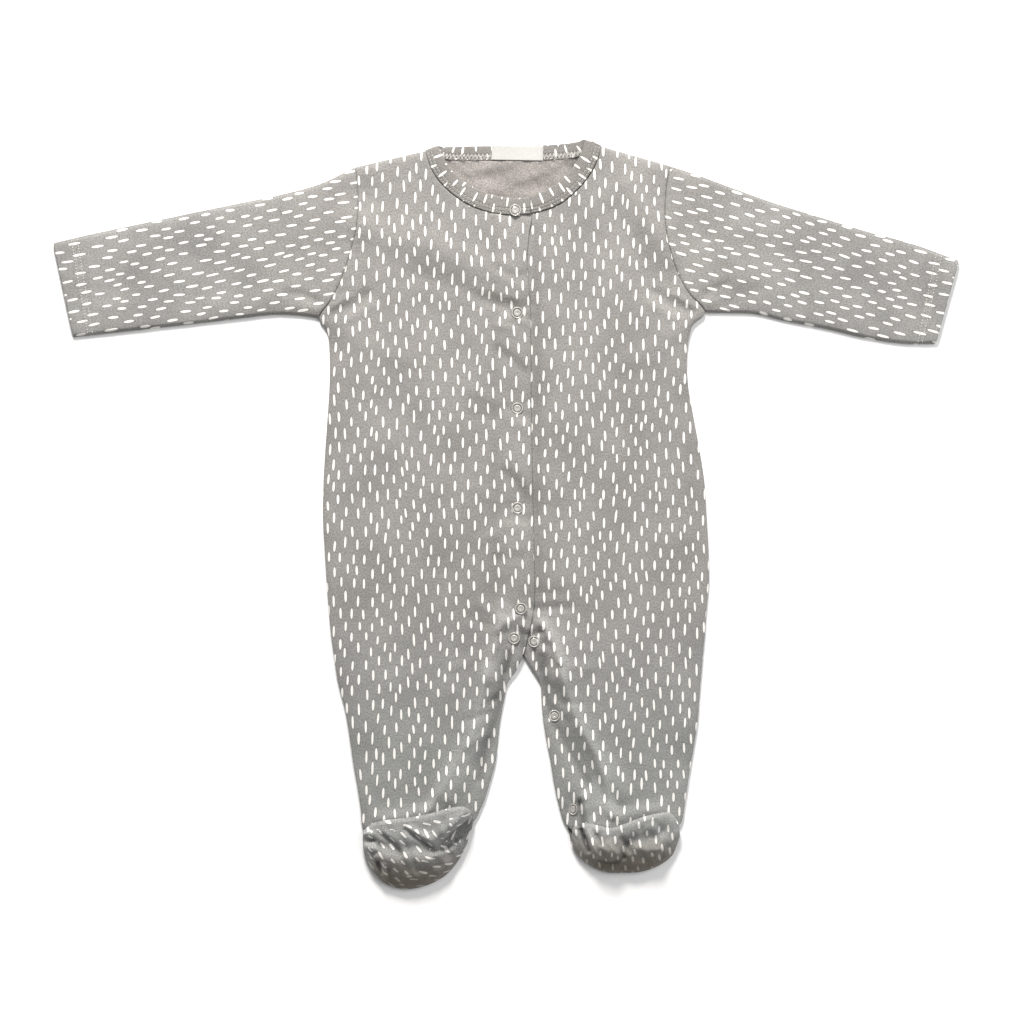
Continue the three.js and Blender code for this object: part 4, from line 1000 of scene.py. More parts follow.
# %% [markdown]
# ## Sleeves
# A sleeve is one piece sewn to a tube and pressed flat, with a turned hem at the cuff. Two flat panels would
# show a seam on the top fold, which it hasn't. So a ring of points is swept from the armhole to the cuff: its
# top face puffs a little and both long edges are rolled folds. The first ring follows the armhole.


# %% Sleeves
def armhole_curve(neck, rows, gap):
    """The front's armhole, a seam's width away."""
    sections = front_sections(neck, rows)
    share = UNDERARM_SECTION / (len(sections) - 1)
    points = spline(sections[:, 0:2])(np.linspace(0, share, 60)) + [gap, 0]
    return evenly(spline(points))


def sleeve_grids(table, armhole, rings=170, across=58):
    """A sleeve's outer and inner points, and what the stitches on it need."""
    rows = np.array(table, float)
    top, under = evenly(spline(rows[:, 0:2])), evenly(spline(rows[:, 2:4]))
    near_cuff = 1 - 0.1 * (1 - np.linspace(0, 1, 30)) ** 1.6
    t = np.concatenate([np.linspace(0, 0.9, rings - 30, endpoint=False), near_cuff])
    low, high = under(t), top(t)
    width = np.linalg.norm(high - low, axis=1)[:, None]
    fade = (np.clip(1 - t / ARMHOLE_FADE, 0, 1) ** 2)[:, None]
    length = float(lengths_along(top(np.linspace(0, 1, 200)))[-1])
    to_cuff = ((1 - t) * length)[:, None]
    from_armhole = (t * length)[:, None]
    radius = SLEEVE_EDGE / 2

    def plan(s):
        straight0, straight1 = under(0.0), top(0.0)
        bow = armhole(1 - s) - (straight0 + (straight1 - straight0) * s[..., None])
        return low[:, None] + (high - low)[:, None] * s[..., None] + bow * fade[..., None]

    def upper(s, x, y):
        edge_distance = np.minimum(s, 1 - s) * width
        fall = rounded(edge_distance)
        hem = 0.35 * smooth((to_cuff - 15) / 3) * smooth((23 - to_cuff) / 3)
        z = SLEEVE_EDGE + np.maximum(0, fall * (SLEEVE_TOP - SLEEVE_EDGE + relief(x, y) - hem))
        along = s * width
        gathers = 0.16 * np.sin(along / 1.2 + 1.5 * np.sin(along / 7))
        gathers = gathers * np.exp(-(((to_cuff - 17) / 5) ** 2))
        return z + gathers * fall + fall * seam_dip(from_armhole, along, seed=3.0)

    arc = np.linspace(0, math.pi, 9)
    near = np.array([0.6, 1.6, 3.2, 5.5, 8.5])
    flat = np.concatenate([
        np.broadcast_to(radius + near, (len(t), len(near))),
        radius + 8.5 + (width - 2 * radius - 17) * np.linspace(0, 1, across + 2)[1:-1],
        width - radius - near[::-1],
    ], axis=1) / width
    under_fold = (radius - radius * np.sin(arc))[None] / width
    s = np.concatenate([under_fold, flat, 1 - under_fold[:, ::-1], flat[:, ::-1]], axis=1)
    p = plan(s)
    z = np.zeros(s.shape)
    n1, n2 = len(arc), flat.shape[1]
    z[:, :n1] = radius - radius * np.cos(arc)
    z[:, n1 : n1 + n2] = upper(flat, p[:, n1 : n1 + n2, 0], p[:, n1 : n1 + n2, 1])
    z[:, n1 + n2 : 2 * n1 + n2] = radius + radius * np.cos(arc)
    outer = np.dstack([p, z])
    wall = WALL + (HEM_WALL - WALL) * smooth((HEM_DEPTH - to_cuff) / 2)
    inset = (wall + 0.15) / width
    inner_s = np.clip(s, inset, 1 - inset)
    inner_z = z.copy()
    middle = radius + 0.02
    inner_z[:, n1 : n1 + n2] = np.maximum(z[:, n1 : n1 + n2] - wall, middle + 0.08)
    inner_z[:, :n1] = middle - 0.08 * np.cos(arc)
    inner_z[:, n1 + n2 : 2 * n1 + n2] = middle + 0.08 * np.cos(arc)
    inner_z[:, 2 * n1 + n2 :] = np.minimum(wall, middle - 0.08)
    inner = np.dstack([plan(inner_s), inner_z])
    cuff_round = rounded(to_cuff, 0.9)
    centre = (outer + inner) / 2
    outer = centre + (outer - centre) * cuff_round[..., None]
    inner = centre + (inner - centre) * cuff_round[..., None]
    outer[..., 2] = np.maximum(outer[..., 2], 0)
    inner[..., 2] = np.maximum(inner[..., 2], 0)
    return outer, inner, {"t": t, "upper": upper, "plan": plan, "to_cuff": to_cuff, "width": width}


def along_axis(points, start, end, shift):
    """Map coordinates with v along the line from start to end."""
    way = unit(np.array(end, float) - np.array(start, float))
    side = np.array([way[1], -way[0]])
    flat = points[..., :2] - start
    return np.dstack([flat @ side + shift[0], flat @ way + shift[1]])


# Per side: its tables, the seam's gap, the map's line from armhole to cuff, and the print's shift.
sleeve_forms = {}
for side, table, neck, rows, gap, start, end, shift in (
    ("right", RIGHT_SLEEVE, NECK_RIGHT, RIGHT_FRONT, -SEAM, (-135, 215), (-354, 178), (3.0, 0.0)),
    ("left", LEFT_SLEEVE, NECK_LEFT, LEFT_FRONT, SEAM, (145, 220), (353, 168), (1.0, 6.0)),
):
    outer, inner, sleeve_forms[side] = sleeve_grids(table, armhole_curve(neck, rows, gap))
    uv = along_axis(outer, start, end, shift)
    made[side + "_sleeve"] = shell(side + "_sleeve_cloth", outer, inner, uv, CLOTH, closed=True)

# %% [markdown]
# ## Neckband
# One folded strip goes from the lapped end over the right shoulder, behind the neck and back to the covered
# end. A bevelled curve would twist as it turns, so its section is swept along the two edge curves.


# %% Course of the neckband
def band_grid():
    """The band's sewn and free edges, and which way its face points."""
    rest = BAND_TOP - BAND_WALL / 2

    def lap_at(x):
        return (LAP_LIFT + 0.2) * smooth((x + 14) / 10)

    def front(table, lapped):
        rows = []
        for k, (sx, sy, fx, fy, _, _) in enumerate(table):
            drop = {0: 2.4, 1: 0.7}.get(k, 0)
            rows.append((sx, sy, fx, fy, rest - drop + (lap_at(sx) if lapped else 0)))
        return rows

    behind = [(*row, BAND_WALL / 2) for row in NECK_BACK]
    stations = np.array(front(NECK_RIGHT, True)[::-1] + behind + front(NECK_LEFT, False), float)
    seam = spline(stations[:, [0, 1, 4]])
    free = spline(stations[:, [2, 3, 4]])
    t = np.linspace(0, 1, (len(stations) - 1) * BAND_STEPS + 1)
    a, b = seam(t), free(t)
    a[:, 2] = np.maximum(a[:, 2], BAND_WALL / 2)
    b[:, 2] = np.maximum(b[:, 2], BAND_WALL / 2)
    along = np.gradient((a + b) / 2, axis=0)
    return a, b, unit(np.cross(along, b - a))


band_seam, band_free, band_normal = band_grid()
band_length = lengths_along((band_seam + band_free) / 2)
band_width = np.linalg.norm(band_free - band_seam, axis=1)
print("Neckband", round(float(band_length[-1])), "mm long,", round(float(band_width.mean()), 1), "mm wide")


# %% Neckband
def band_surface(share, side):
    """Points on the band's face at shares of its width, on the side that its normal points to or the other."""
    share = np.asarray(share, float)
    middle = band_seam[:, None] + (band_free - band_seam)[:, None] * share[None, :, None]
    half = BAND_WALL / 2
    from_seam = share[None] * band_width[:, None]
    along = np.broadcast_to(band_length[:, None], from_seam.shape)
    rows = sum(np.exp(-(((from_seam - row) / 0.7) ** 2)) for row in BAND_ROWS)
    swell = 0.35 * np.sin(np.pi * share)[None] - 0.42 * rows
    gathers = 0.12 * np.sin(along / 1.1 + 1.4 * np.sin(along / 6))
    swell = swell + gathers * np.exp(-(((from_seam - 4.8) / 3) ** 2))
    return middle + band_normal[:, None] * (side * (half + swell))[..., None]


def neckband_piece():
    """The swept strip with both long edges rounded and its ends closed."""
    near = np.linspace(0, 1, 36)
    half = BAND_WALL / 2
    inset = half / band_width.mean()
    flat = inset + (1 - 2 * inset) * near
    face, under = band_surface(flat, 1.0), band_surface(flat, -1.0)
    arc = np.linspace(0, math.pi, 7)[1:-1]
    across = unit(band_free - band_seam)

    def fold(centre_share, way, angles):
        centre = band_seam + (band_free - band_seam) * centre_share
        return (
            centre[:, None]
            + band_normal[:, None] * (half * np.cos(angles))[None, :, None]
            + across[:, None] * (way * half * np.sin(angles))[None, :, None]
        )

    ring = np.concatenate([face, fold(1 - inset, 1, arc), under[:, ::-1], fold(inset, -1, arc[::-1])], axis=1)
    rows, columns = ring.shape[:2]
    ring[..., 2] = np.maximum(ring[..., 2], 0)
    faces = quads(0, rows, columns, True, False)
    faces.append(list(range(columns))[::-1])
    faces.append([(rows - 1) * columns + k for k in range(columns)])
    step = np.linalg.norm(np.diff(ring, axis=1, append=ring[:, :1]), axis=2).mean(axis=0)
    v = np.concatenate([[0], np.cumsum(step)[:-1]])
    u = np.broadcast_to(band_length[:, None], (rows, columns)) * 1.06
    uv = np.dstack([u, np.broadcast_to(v, (rows, columns)) + 3]).reshape(-1, 2)
    return make_piece("neckband_cloth", ring.reshape(-1, 3), faces, uv, [0] * len(faces), [PRINTED_BAND])


made["neckband"] = neckband_piece()

# %% [markdown]
# ## Feet
# A foot is a sole piece and an upper piece, and its toe flops forward over the leg in crumples. The sole climbs
# from the heel's rim to the toe's ridge and turns round the nose; the upper runs back under it to the instep.
# A stuffed ball would stand up by itself, so both are sheets with an empty hollow, crumpled by listed folds.


# %% Form of a foot
def foot_splines(table):
    rows = np.array(table, float)
    return spline(rows[:, 0:2]), spline(rows[:, 2:5])


def beside_flap(x, y):
    """Distance from the flap's edge, how the flap fades along it, and whether a point lies beyond it."""
    edge_x, edge_y = zip(*FLAP_EDGE[::-1])
    distance, share = path_distance(x, y, FLAP_EDGE)
    return distance, (1 - share) ** 0.5, (y < np.interp(x, edge_x, edge_y)) & (x < 0)


def sole_shade_and_highlight(x, y):
    """Painted shade in the crumples' creases, a painted highlight on their crests, and the painted shadow
    beside the flap.
    """
    distance, fading, beyond = beside_flap(x, y)
    # Painted shadow on the leg's strip beyond the flap, fading away from the flap's edge and along it.
    under = 0.9 * np.exp(-distance / 12) * fading * beyond
    return np.clip(crease_shade_and_crest_highlight(SMALL_SOLE_FOLDS, x, y) + under, -1, DARKEST_CREASE_SHADE)


def sole_height(ridge_z, v, x, y):
    """The sole's rise, from the heel's rim at v = 0 to the toe's ridge at 1."""
    along, rise = zip(*FOOT_PROFILE)
    base = SEAM_TOP + (ridge_z - SEAM_TOP) * np.interp(v, along, rise)
    tall = np.clip((ridge_z - 8) / 10, 0, 1) * np.sin(np.pi * np.clip(v, 0, 1))
    near = np.clip((ridge_z - 8) / 8, 0.75, 1) * np.sin(np.pi * np.clip(v, 0, 1)) ** 0.45
    small = near * (0.6 * waves(x, y, 33, 7, 16) + 1.35 * fold_rise(SMALL_SOLE_FOLDS, x, y))
    distance, fading, beyond = beside_flap(x, y)
    drop = FLAP_DROP * smooth(distance / 1.1) * np.exp(-distance / FLAP_REACH) * fading * beyond
    roll = FLAP_ROLL * np.exp(-(((distance - 5) / 4.5) ** 2)) * fading * ~beyond * (x < 0)
    flap = (roll - drop) * np.clip((ridge_z - 8) / 4, 0, 1)
    folded = base + tall * fold_rise(SOLE_FOLDS, x, y) + small + flap
    lowest = SOLE_LOWEST - 2.0 * smooth((x + 44) / 4) * (x < 0)
    return np.maximum(folded, np.minimum(base, lowest))


def soften(z, times):
    """Each row moved towards its neighbours."""
    for _ in range(times):
        z[1:-1] = (z[:-2] + 2 * z[1:-1] + z[2:]) / 4
    return z

print("Height of the toes in mm:", [max(row[4] for row in foot) for foot in (RIGHT_FOOT, LEFT_FOOT)])


# %% Soles and uppers
def sole_grid(table, columns=150, rows=SOLE_ROWS):
    """A sole's outer and inner points, with the nose turned under."""
    rim, ridge = foot_splines(table)
    u = np.linspace(0, 1, columns)
    low, high = rim(u), ridge(u)
    v = np.linspace(0, 1, rows)[:, None]
    plan = low[None] + (high[None, :, :2] - low[None]) * v[..., None]
    z = soften(sole_height(high[None, :, 2], v, plan[..., 0], plan[..., 1]), 3)
    nose = np.clip((z[-1] - PUFF_TOP - 0.4) / 1.87, 1.2, NOSE)[None]
    ahead = unit(high[:, :2] - low)
    angles = np.radians(np.linspace(78, -60, 16))[:, None]
    nose_plan = plan[-1][None] + ahead[None] * (nose * np.cos(angles))[..., None]
    nose_z = z[-1][None] + nose * (np.sin(angles) - 1)
    grid = np.dstack([np.concatenate([plan, nose_plan]), np.concatenate([z, nose_z])])
    normals = grid_normals(grid)
    normals *= np.sign(normals[rows // 2, columns // 2, 2])
    steps = np.linalg.norm(np.diff(grid, axis=0), axis=2)
    along = np.concatenate([[np.zeros(columns)], np.cumsum(steps, axis=0)])
    across = np.linspace(0, 1, columns)[None] * np.linalg.norm(low[-1] - low[0])
    distance = np.minimum(along, np.minimum(across, across[:, ::-1]) * 1.5)
    left = turned_edge(distance, WALL)
    outer = grid - normals * (WALL * (1 - left) / 2)[..., None]
    inner = grid - normals * (WALL * (1 + left) / 2)[..., None]
    return outer, inner


def turned_map(u, v, degrees, shift):
    """Map coordinates turned to the cloth's grain."""
    c, s = math.cos(math.radians(degrees)), math.sin(math.radians(degrees))
    return np.dstack([u * c - v * s + shift[0], u * s + v * c + shift[1]])


NOSE_ROWS = 12  # the sole's last rows, whose print runs with the folded toe


def foot_sole(name, table, degrees, shift, crossed=0):
    """A sole. Where its toe is folded over, the print is crossed."""
    outer, inner = sole_grid(table)
    x, y = outer[..., 0], outer[..., 1] + 0.5 * outer[..., 2]
    plan = turned_map(x, y, degrees, shift) * [0.95, 1.25]
    if crossed:
        crosswise = (x + 58) - 0.89 * (outer[..., 1] + 265) > 0
        crosswise[SOLE_ROWS - NOSE_ROWS:] = True
        plan = np.where(crosswise[..., None], turned_map(x, y, crossed, shift) * [0.95, 1.15], plan)
        strip = beside_flap(outer[..., 0], outer[..., 1])[2] & (outer[..., 1] > STRIP_END)
        plan = np.where(strip[..., None], turned_map(x, y, 22, shift), plan)
    painted_shade_and_highlight = sole_shade_and_highlight(outer[..., 0], outer[..., 1])
    return shell(name, outer, inner, plan, [PRINTED_SOLE, PLAIN], painted_shade_and_highlight=painted_shade_and_highlight)


def foot_upper(name, table, columns=60, rows=30):
    """The instep, under the toe."""
    rim, ridge = foot_splines(table)
    u = np.linspace(0.2, 0.8, columns)
    low, high = rim(u), ridge(u)
    v = np.linspace(INSTEP, 0.97, rows)[:, None]
    plan = low[None] + (high[None, :, :2] - low[None]) * v[..., None]
    z = sole_height(high[None, :, 2], v, plan[..., 0], plan[..., 1]) - WALL - FOOT_LAYER_GAP
    z = np.maximum(z, PUFF_TOP + WALL + GAP)
    grid = np.dstack([plan, z])
    normals = grid_normals(grid)
    normals *= np.sign(normals[rows // 2, columns // 2, 2])
    return shell(name, grid - normals * WALL, grid, plan + [3.0, 8.0], CLOTH)


made["right_foot_sole"] = foot_sole("right_foot_sole_cloth", RIGHT_FOOT, -38, (2.0, 5.0), crossed=-76)
made["left_foot_sole"] = foot_sole("left_foot_sole_cloth", LEFT_FOOT, -6, (6.0, 1.0))
made["right_foot_upper"] = foot_upper("right_foot_upper_cloth", RIGHT_FOOT)
made["left_foot_upper"] = foot_upper("left_foot_upper_cloth", LEFT_FOOT)

# %% [markdown]
# ## Snaps
# A jersey snap shows as a painted ring pressed into the cloth, open in the middle. It could be a torus, but
# that would miss its groove and lip, so a short profile is turned round the snap's middle. The one at the neck
# stands 2.4 mm below its solid, in the middle of the lapped band.


# %% Snaps
def height_under(grids, x, y, reach):
    """The highest cloth within reach of a point."""
    best = 0.0
    for grid in grids:
        near = np.hypot(grid[..., 0] - x, grid[..., 1] - y) < reach
        if near.any():
            best = max(best, float(grid[..., 2][near].max()))
    return best


# Radius and height round a snap's cap: the outer ring, the groove, and the raised middle.
SNAP_PROFILE = [
    (0.02, 0.0), (4.5, 0.0), (4.75, 0.3), (4.72, 0.72), (4.5, 1.02), (4.2, 1.14), (3.85, 1.06), (3.6, 0.78),
    (3.45, 0.3), (3.3, 0.12), (3.1, 0.12), (2.95, 0.3), (2.8, 0.62), (2.5, 0.8), (2.1, 0.84), (1.5, 0.74),
    (0.8, 0.66), (0.02, 0.64),
]
GROOVE = (1, 2, 8, 9, 10)  # the profile's stretches in dark paint, as painted shade: the rim's foot and the groove


def ring_piece(name, x, y, z, lean=0.0, around=64):
    """The profile turned round a snap's middle. A lean tips it to one side."""
    r, h = np.array(SNAP_PROFILE).T
    angle = np.linspace(0, TURN, around, endpoint=False)
    side = np.outer(np.cos(angle), r)
    rise = z + np.broadcast_to(h, (around, len(r))) + side * lean
    ring = np.dstack([x + side * (1 - lean), y + np.outer(np.sin(angle), r), rise])
    columns = len(SNAP_PROFILE)
    faces = []
    for a in range(around):
        here, after = a * columns, (a + 1) % around * columns
        for c in range(columns):
            n = (c + 1) % columns
            faces.append([here + c, after + c, after + n, here + n])
    points = ring.reshape(-1, 3)
    # The groove and the rim's foot take the dark copy of the paint, as painted shade.
    shaded_faces = [int(k in GROOVE) for k in range(columns)] * around
    return make_piece(name, points, faces, points[:, :2], shaded_faces, [SNAP_GREY, SNAP_GROOVE_SHADE])


band_up = np.where(band_normal[:, 2:3] > 0, 1.0, -1.0)
tops.append(
    band_seam[:, None] + (band_free - band_seam)[:, None] * np.linspace(0, 1, 13)[None, :, None]
    + band_normal[:, None] * (band_up * BAND_WALL / 2)[:, None]
)
snap_rings = {}
for name, (x, y) in SNAPS.items():
    lean = 0.25 if name == "snap_ankle" else 0.0
    snap_rings[name] = ring_piece(name + "_ring", x, y, height_under(tops, x, y, 4.2) - 0.35, lean)

# %% [markdown]
# ## Label
# The label is a strip of satin caught in the back of the neckband, and it is left blank. A flat card would
# look stiff, so it sags a little between its two sewn ends.


# %% Label
def label_place(lx, ly):
    """Where a point of the label lies in the garment's plan."""
    c, s = math.cos(LABEL_TILT), math.sin(LABEL_TILT)
    return LABEL["x"] + lx * c - ly * s, LABEL["y"] + lx * s + ly * c


def label_sag(lx, ly):
    return 0.25 * np.sin(lx / 6.5) * np.clip(-ly / LABEL["height"] + 0.5, 0, 1) + 0.1 * np.sin(lx / 2.6 + 1)


def label_piece():
    """The label's two faces, thinner towards their edges."""
    width, height, near = LABEL["width"], LABEL["height"], [0, 0.1, 0.3, 0.7, 1.4]
    across = places([width], near, 44)[0] - width / 2
    down = places([height], near, 14)[0] - height / 2
    lx, ly = np.meshgrid(across, down)
    x, y = label_place(lx, ly)
    z = BAND_WALL + LABEL["lift"] + label_sag(lx, ly) + 0.25 * np.clip(-ly / height, 0, 1)
    from_border = np.minimum(width / 2 - np.abs(lx), height / 2 - np.abs(ly))
    half = LABEL["wall"] * turned_edge(from_border, LABEL["wall"]) / 2
    top, bottom = np.dstack([x, y, z + half]), np.dstack([x, y, z - half])
    return shell("neck_label_satin", top, bottom, np.dstack([lx, ly]), [LABEL_WHITE, LABEL_WHITE])


made["neck_label"] = label_piece()

# %% [markdown]
# ## Stitching
# Machine stitches are short threads at an even pitch, sunk in the cloth. Modelling each by hand would take
# hundreds of objects, so one geometry-nodes group sews every row. It reads a line of points, sets stitches
# along it at the pitch, turns each with the line and gives it a little unevenness.


# %% Stitch nodes
def stitch_sockets(group):
    """The group's named inputs and its output."""
    face = group.interface
    face.new_socket("Geometry", in_out="INPUT", socket_type="NodeSocketGeometry")
    for name, default in (("Pitch", 2.6), ("Length", 2.1), ("Thickness", 0.42), ("Unevenness", 0.12)):
        socket = face.new_socket(name, in_out="INPUT", socket_type="NodeSocketFloat")
        socket.default_value = default
    face.new_socket("Seed", in_out="INPUT", socket_type="NodeSocketInt")
    face.new_socket("Thread", in_out="INPUT", socket_type="NodeSocketMaterial")
    face.new_socket("Geometry", in_out="OUTPUT", socket_type="NodeSocketGeometry")


def stitch_group():
    group = bpy.data.node_groups.new("stitch_row", "GeometryNodeTree")
    stitch_sockets(group)
    source = group.nodes.new("NodeGroupInput").outputs
    result = group.nodes.new("NodeGroupOutput")

    def add(kind, inputs=(), output=0, **settings):
        return add_node(group, kind, inputs, **settings).outputs[output]

    def maths(operation, a, b):
        return add("ShaderNodeMath", {0: a, 1: b}, operation=operation)

    def metres(name):
        return maths("MULTIPLY", source[name], MM)

    curve = add("GeometryNodeMeshToCurve", {0: source["Geometry"]})
    spaced = group.nodes.new("GeometryNodeResampleCurve")
    spaced.mode = "LENGTH"
    set_inputs(group, spaced, {"Curve": curve, "Length": metres("Pitch")})
    stitch = add("GeometryNodeMeshUVSphere", {"Segments": 8, "Rings": 6, "Radius": 0.5}, "Mesh")
    turn = add("FunctionNodeAlignRotationToVector", {"Vector": add("GeometryNodeInputTangent")}, axis="Z")
    low = maths("SUBTRACT", 1.0, source["Unevenness"])
    high = maths("ADD", 1.0, source["Unevenness"])
    chance = add("FunctionNodeRandomValue", {2: low, 3: high, "Seed": source["Seed"]}, 1, data_type="FLOAT")
    thick = metres("Thickness")
    size = add("ShaderNodeCombineXYZ", {0: thick, 1: thick, 2: maths("MULTIPLY", metres("Length"), chance)})
    inputs = {"Points": spaced.outputs[0], "Instance": stitch, "Rotation": turn, "Scale": size}
    real = add("GeometryNodeRealizeInstances", {0: add("GeometryNodeInstanceOnPoints", inputs)})
    dressed = add("GeometryNodeSetMaterial", {"Geometry": real, "Material": source["Thread"]})
    group.links.new(dressed, result.inputs[0])
    return group


STITCHES = stitch_group()
print("The stitch group has", len(STITCHES.nodes), "nodes")


# %% Sewing a row
def sew(name, lines, material, seed, pitch, length, thickness):
    """Sews along each line of points and returns one object."""
    mesh = bpy.data.meshes.new(name)
    points, edges = [], []
    for line in lines:
        first = len(points)
        points += (np.asarray(line) * MM).tolist()
        edges += [(first + k, first + k + 1) for k in range(len(line) - 1)]
    mesh.from_pydata(points, edges, [])
    obj = bpy.data.objects.new(name, mesh)
    scene.collection.objects.link(obj)
    modifier = obj.modifiers.new("stitches", "NODES")
    modifier.node_group = STITCHES
    names = {item.name: item.identifier for item in STITCHES.interface.items_tree if item.in_out == "INPUT"}
    settings = {"Pitch": pitch, "Length": length, "Thickness": thickness, "Seed": seed, "Thread": material}
    for key, value in settings.items():
        modifier[names[key]] = value
    bpy.context.view_layer.update()
    sewn = obj.evaluated_get(bpy.context.evaluated_depsgraph_get())
    obj.data = bpy.data.meshes.new_from_object(sewn)
    obj.modifiers.remove(modifier)
    faces = obj.data.polygons
    faces.foreach_set("use_smooth", [True] * len(faces))
    print(name, len(faces), "faces")
    return obj


def band_row(distance, first, last):
    """A line on the band at a distance from its sewn edge, between two rings of points."""
    share = distance / band_width
    middle = band_seam + (band_free - band_seam) * share[:, None]
    side = np.sign(band_normal[(first + last) // 2, 2])
    line = middle + band_normal * (side * (BAND_WALL / 2 + 0.16))
    return line[first:last]


FRONT_ENDS = (4, (len(NECK_RIGHT) - 1) * BAND_STEPS - 4)
BEHIND_ENDS = (len(NECK_RIGHT) * BAND_STEPS + 2, (len(NECK_RIGHT) + len(NECK_BACK) - 1) * BAND_STEPS - 2)
LEFT_ENDS = ((len(NECK_RIGHT) + len(NECK_BACK)) * BAND_STEPS + 4, len(band_width) - 26)
band_lines = [band_row(distance, *ends) for distance in BAND_ROWS for ends in (FRONT_ENDS, LEFT_ENDS)]
band_stitches = sew("neckband_stitches", band_lines, LOOPER, 3, 2.6, 1.9, 0.5)


# %% Looper thread behind the neck
def looper_line(near, far, step=1.5):
    """The zigzag of looper thread on the band's inner side, which shows behind the neck."""
    low, high = band_row(near, *BEHIND_ENDS), band_row(far, *BEHIND_ENDS)
    length = lengths_along(low)
    at = np.arange(0, length[-1], step)
    rows = [np.column_stack([np.interp(at, length, line[:, k]) for k in range(3)]) for line in (low, high)]
    return np.where((np.arange(len(at)) % 2)[:, None], rows[0], rows[1]) + [0, 0, 0.1]


zigzags = [looper_line(0.9, 4.6), looper_line(1.6, 5.4)]
looper_stitches = sew("neckband_looper", zigzags, LOOPER, 4, 0.9, 1.0, 0.5)


# %% Stitches of the cuffs and the label
def cuff_lines(form, distance):
    """A line across the sleeve's top face at a distance from the cuff."""
    s = np.linspace(0.03, 0.97, 60)
    row = int(np.argmin(np.abs(form["to_cuff"][:, 0] - distance)))
    shares = np.broadcast_to(s, (len(form["t"]), len(s)))
    plan = form["plan"](shares)
    height = form["upper"](shares, plan[..., 0], plan[..., 1])
    return np.column_stack([plan[row], height[row] + 0.1])


cuff_stitches = []
for seed, (side, form) in enumerate(sleeve_forms.items(), start=5):
    rows = [cuff_lines(form, distance) for distance in CUFF_ROWS]
    cuff_stitches.append(sew(side + "_cuff_stitches", rows, LOOPER, seed, 2.4, 1.3, 0.78))


def label_line(end):
    """The row that holds one end of the label."""
    ly = np.linspace(-4.6, 4.6, 12)
    x, y = label_place(end, ly)
    return np.column_stack([x, y, BAND_WALL + LABEL["lift"] + 0.35 + label_sag(end, ly) + 0.12])


label_rows = [label_line(end) for end in (-18.9, 18.9)]
label_stitches = sew("neck_label_stitches", label_rows, LABEL_THREAD, 8, 1.9, 1.6, 0.34)

# %% [markdown]
# ## Handing the pieces to the frame
# The garment is one soft body, so every piece rides on the root. Cloth pieces stand for their CAD nodes, whose
# solids are hidden, and the size of each flat cut is listed. A cord or a joint would be false here: nothing in
# the suit moves without its cloth changing shape.

# %% Ride and stand in
# Each jersey sheet: its CAD node, the flat cut in metres and its area in square metres.
SHEETS = [
    ("back", (0.325, 0.592), 0.1515), ("right_front", (0.175, 0.559), 0.074),
    ("left_front", (0.168, 0.557), 0.070), ("right_sleeve", (0.245, 0.236), 0.0435),
    ("left_sleeve", (0.240, 0.236), 0.0420), ("neckband", (0.0135, 0.36), 0.0047),
    ("right_foot_sole", (0.095, 0.075), 0.0052), ("left_foot_sole", (0.092, 0.058), 0.0038),
    ("right_foot_upper", (0.068, 0.032), 0.0016), ("left_foot_upper", (0.064, 0.028), 0.0011),
]
slots = {node: "jersey" for node, _, _ in SHEETS} | {"neck_label": "label"}
slots |= {name: "snap" for name in snap_rings}
made |= snap_rings
for node, slot_name in slots.items():
    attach(made[node], "root")
    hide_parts(node)
for row in (band_stitches, looper_stitches, *cuff_stitches, label_stitches):
    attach(row, "root")
print(len(slots), "pieces stand for", len(slots), "nodes, and 5 rows of stitches ride along")

# %% [markdown]
# ## Floor, light and camera
# The suit lies on a plain pale floor. A single bare lamp would burn out the white dashes, so a large soft light
# beyond the neck shows the folds and a weaker one fills the shadows. The camera looks straight down.


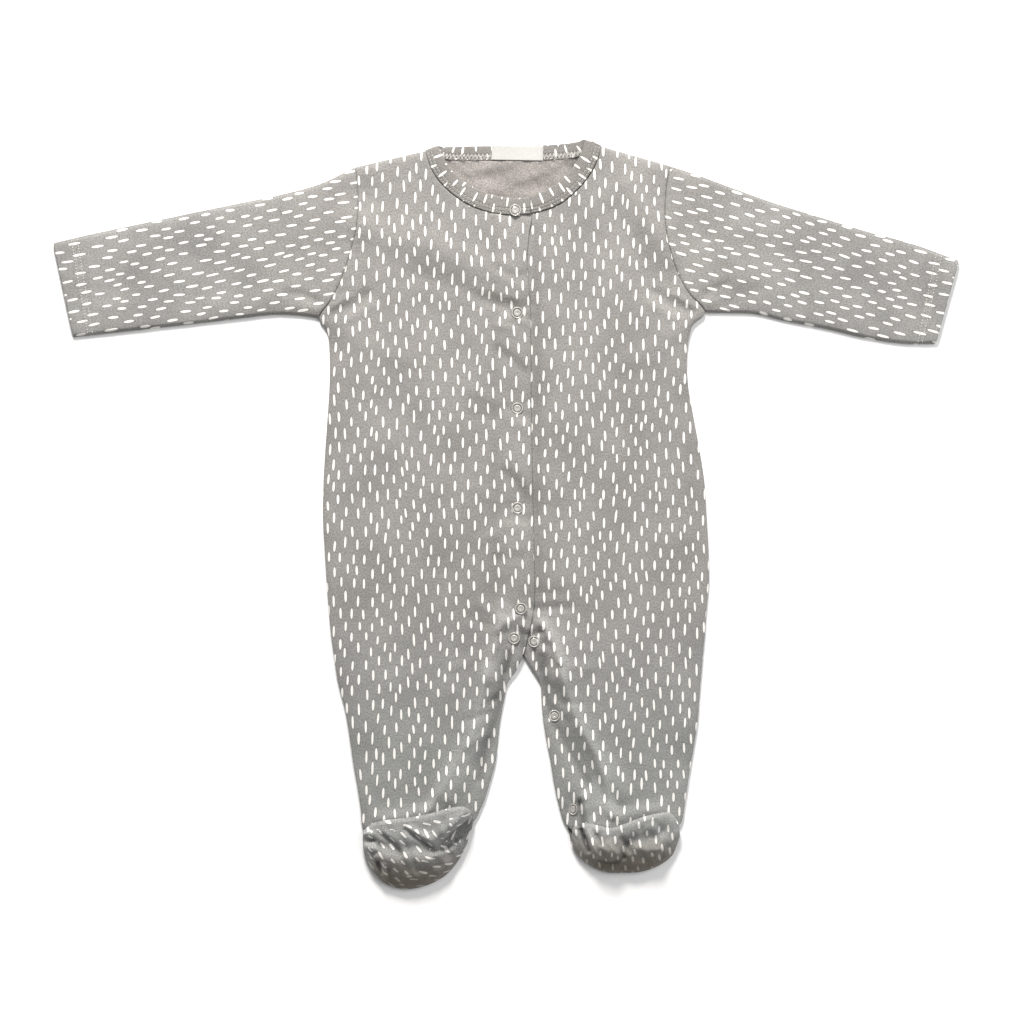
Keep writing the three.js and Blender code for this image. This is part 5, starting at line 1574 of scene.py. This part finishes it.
# %% Floor
def floor_material():
    material, m, shader = new_material("pale_floor")
    tone = m.noise(m.place(), 3.0, 2.0)
    color = m.mix(tone, (0.95, 0.95, 0.95, 1), (0.97, 0.97, 0.97, 1))
    set_inputs(m.tree, shader, {"Base Color": color, "Roughness": 0.9})
    return material


FLOOR_HALF = 6
corners = [(x * FLOOR_HALF, y * FLOOR_HALF, 0) for x, y in ((-1, -1), (1, -1), (1, 1), (-1, 1))]
floor_mesh = bpy.data.meshes.new("floor")
floor_mesh.from_pydata(corners, [], [(0, 1, 2, 3)])
floor_mesh.materials.append(floor_material())
floor = bpy.data.objects.new("floor", floor_mesh)
floor.location.z = -0.0003
scene.collection.objects.link(floor)
print("Floor", 2 * FLOOR_HALF, "m across")


# %% Light and camera
def area_light(name, place, target, size, power, color=(1, 1, 1)):
    light = bpy.data.lights.new(name, "AREA")
    light.shape = "DISK"
    light.size = size
    light.energy = power
    light.color = color
    obj = bpy.data.objects.new(name, light)
    obj.location = place
    obj.rotation_euler = (Vector(target) - Vector(place)).to_track_quat("-Z", "Y").to_euler()
    scene.collection.objects.link(obj)
    return obj


area_light("key", (-0.2, 1.5, 1.1), (0, 0.05, 0), 0.6, 57.5, (1, 0.975, 0.95))
area_light("fill", (1.5, 0.6, 2.0), (0, 0, 0), 2.2, 31)
world = bpy.data.worlds.new("soft_world")
world.use_nodes = True
background = world.node_tree.nodes["Background"]
background.inputs["Color"].default_value = (1, 1, 1, 1)
background.inputs["Strength"].default_value = 0.31
scene.world = world
scene.view_settings.view_transform = "Standard"

VIEW_WIDTH = 0.8192
VIEW_HEIGHT = 3.0
camera_data = bpy.data.cameras.new("camera")
camera_data.sensor_width = 36
camera_data.lens = 36 * VIEW_HEIGHT / VIEW_WIDTH
camera_data.clip_end = 20
camera = bpy.data.objects.new("camera", camera_data)
camera.location = (0.0048, 0.0015, VIEW_HEIGHT)
scene.collection.objects.link(camera)
scene.camera = camera
print("The camera stands", VIEW_HEIGHT, "m over the suit")
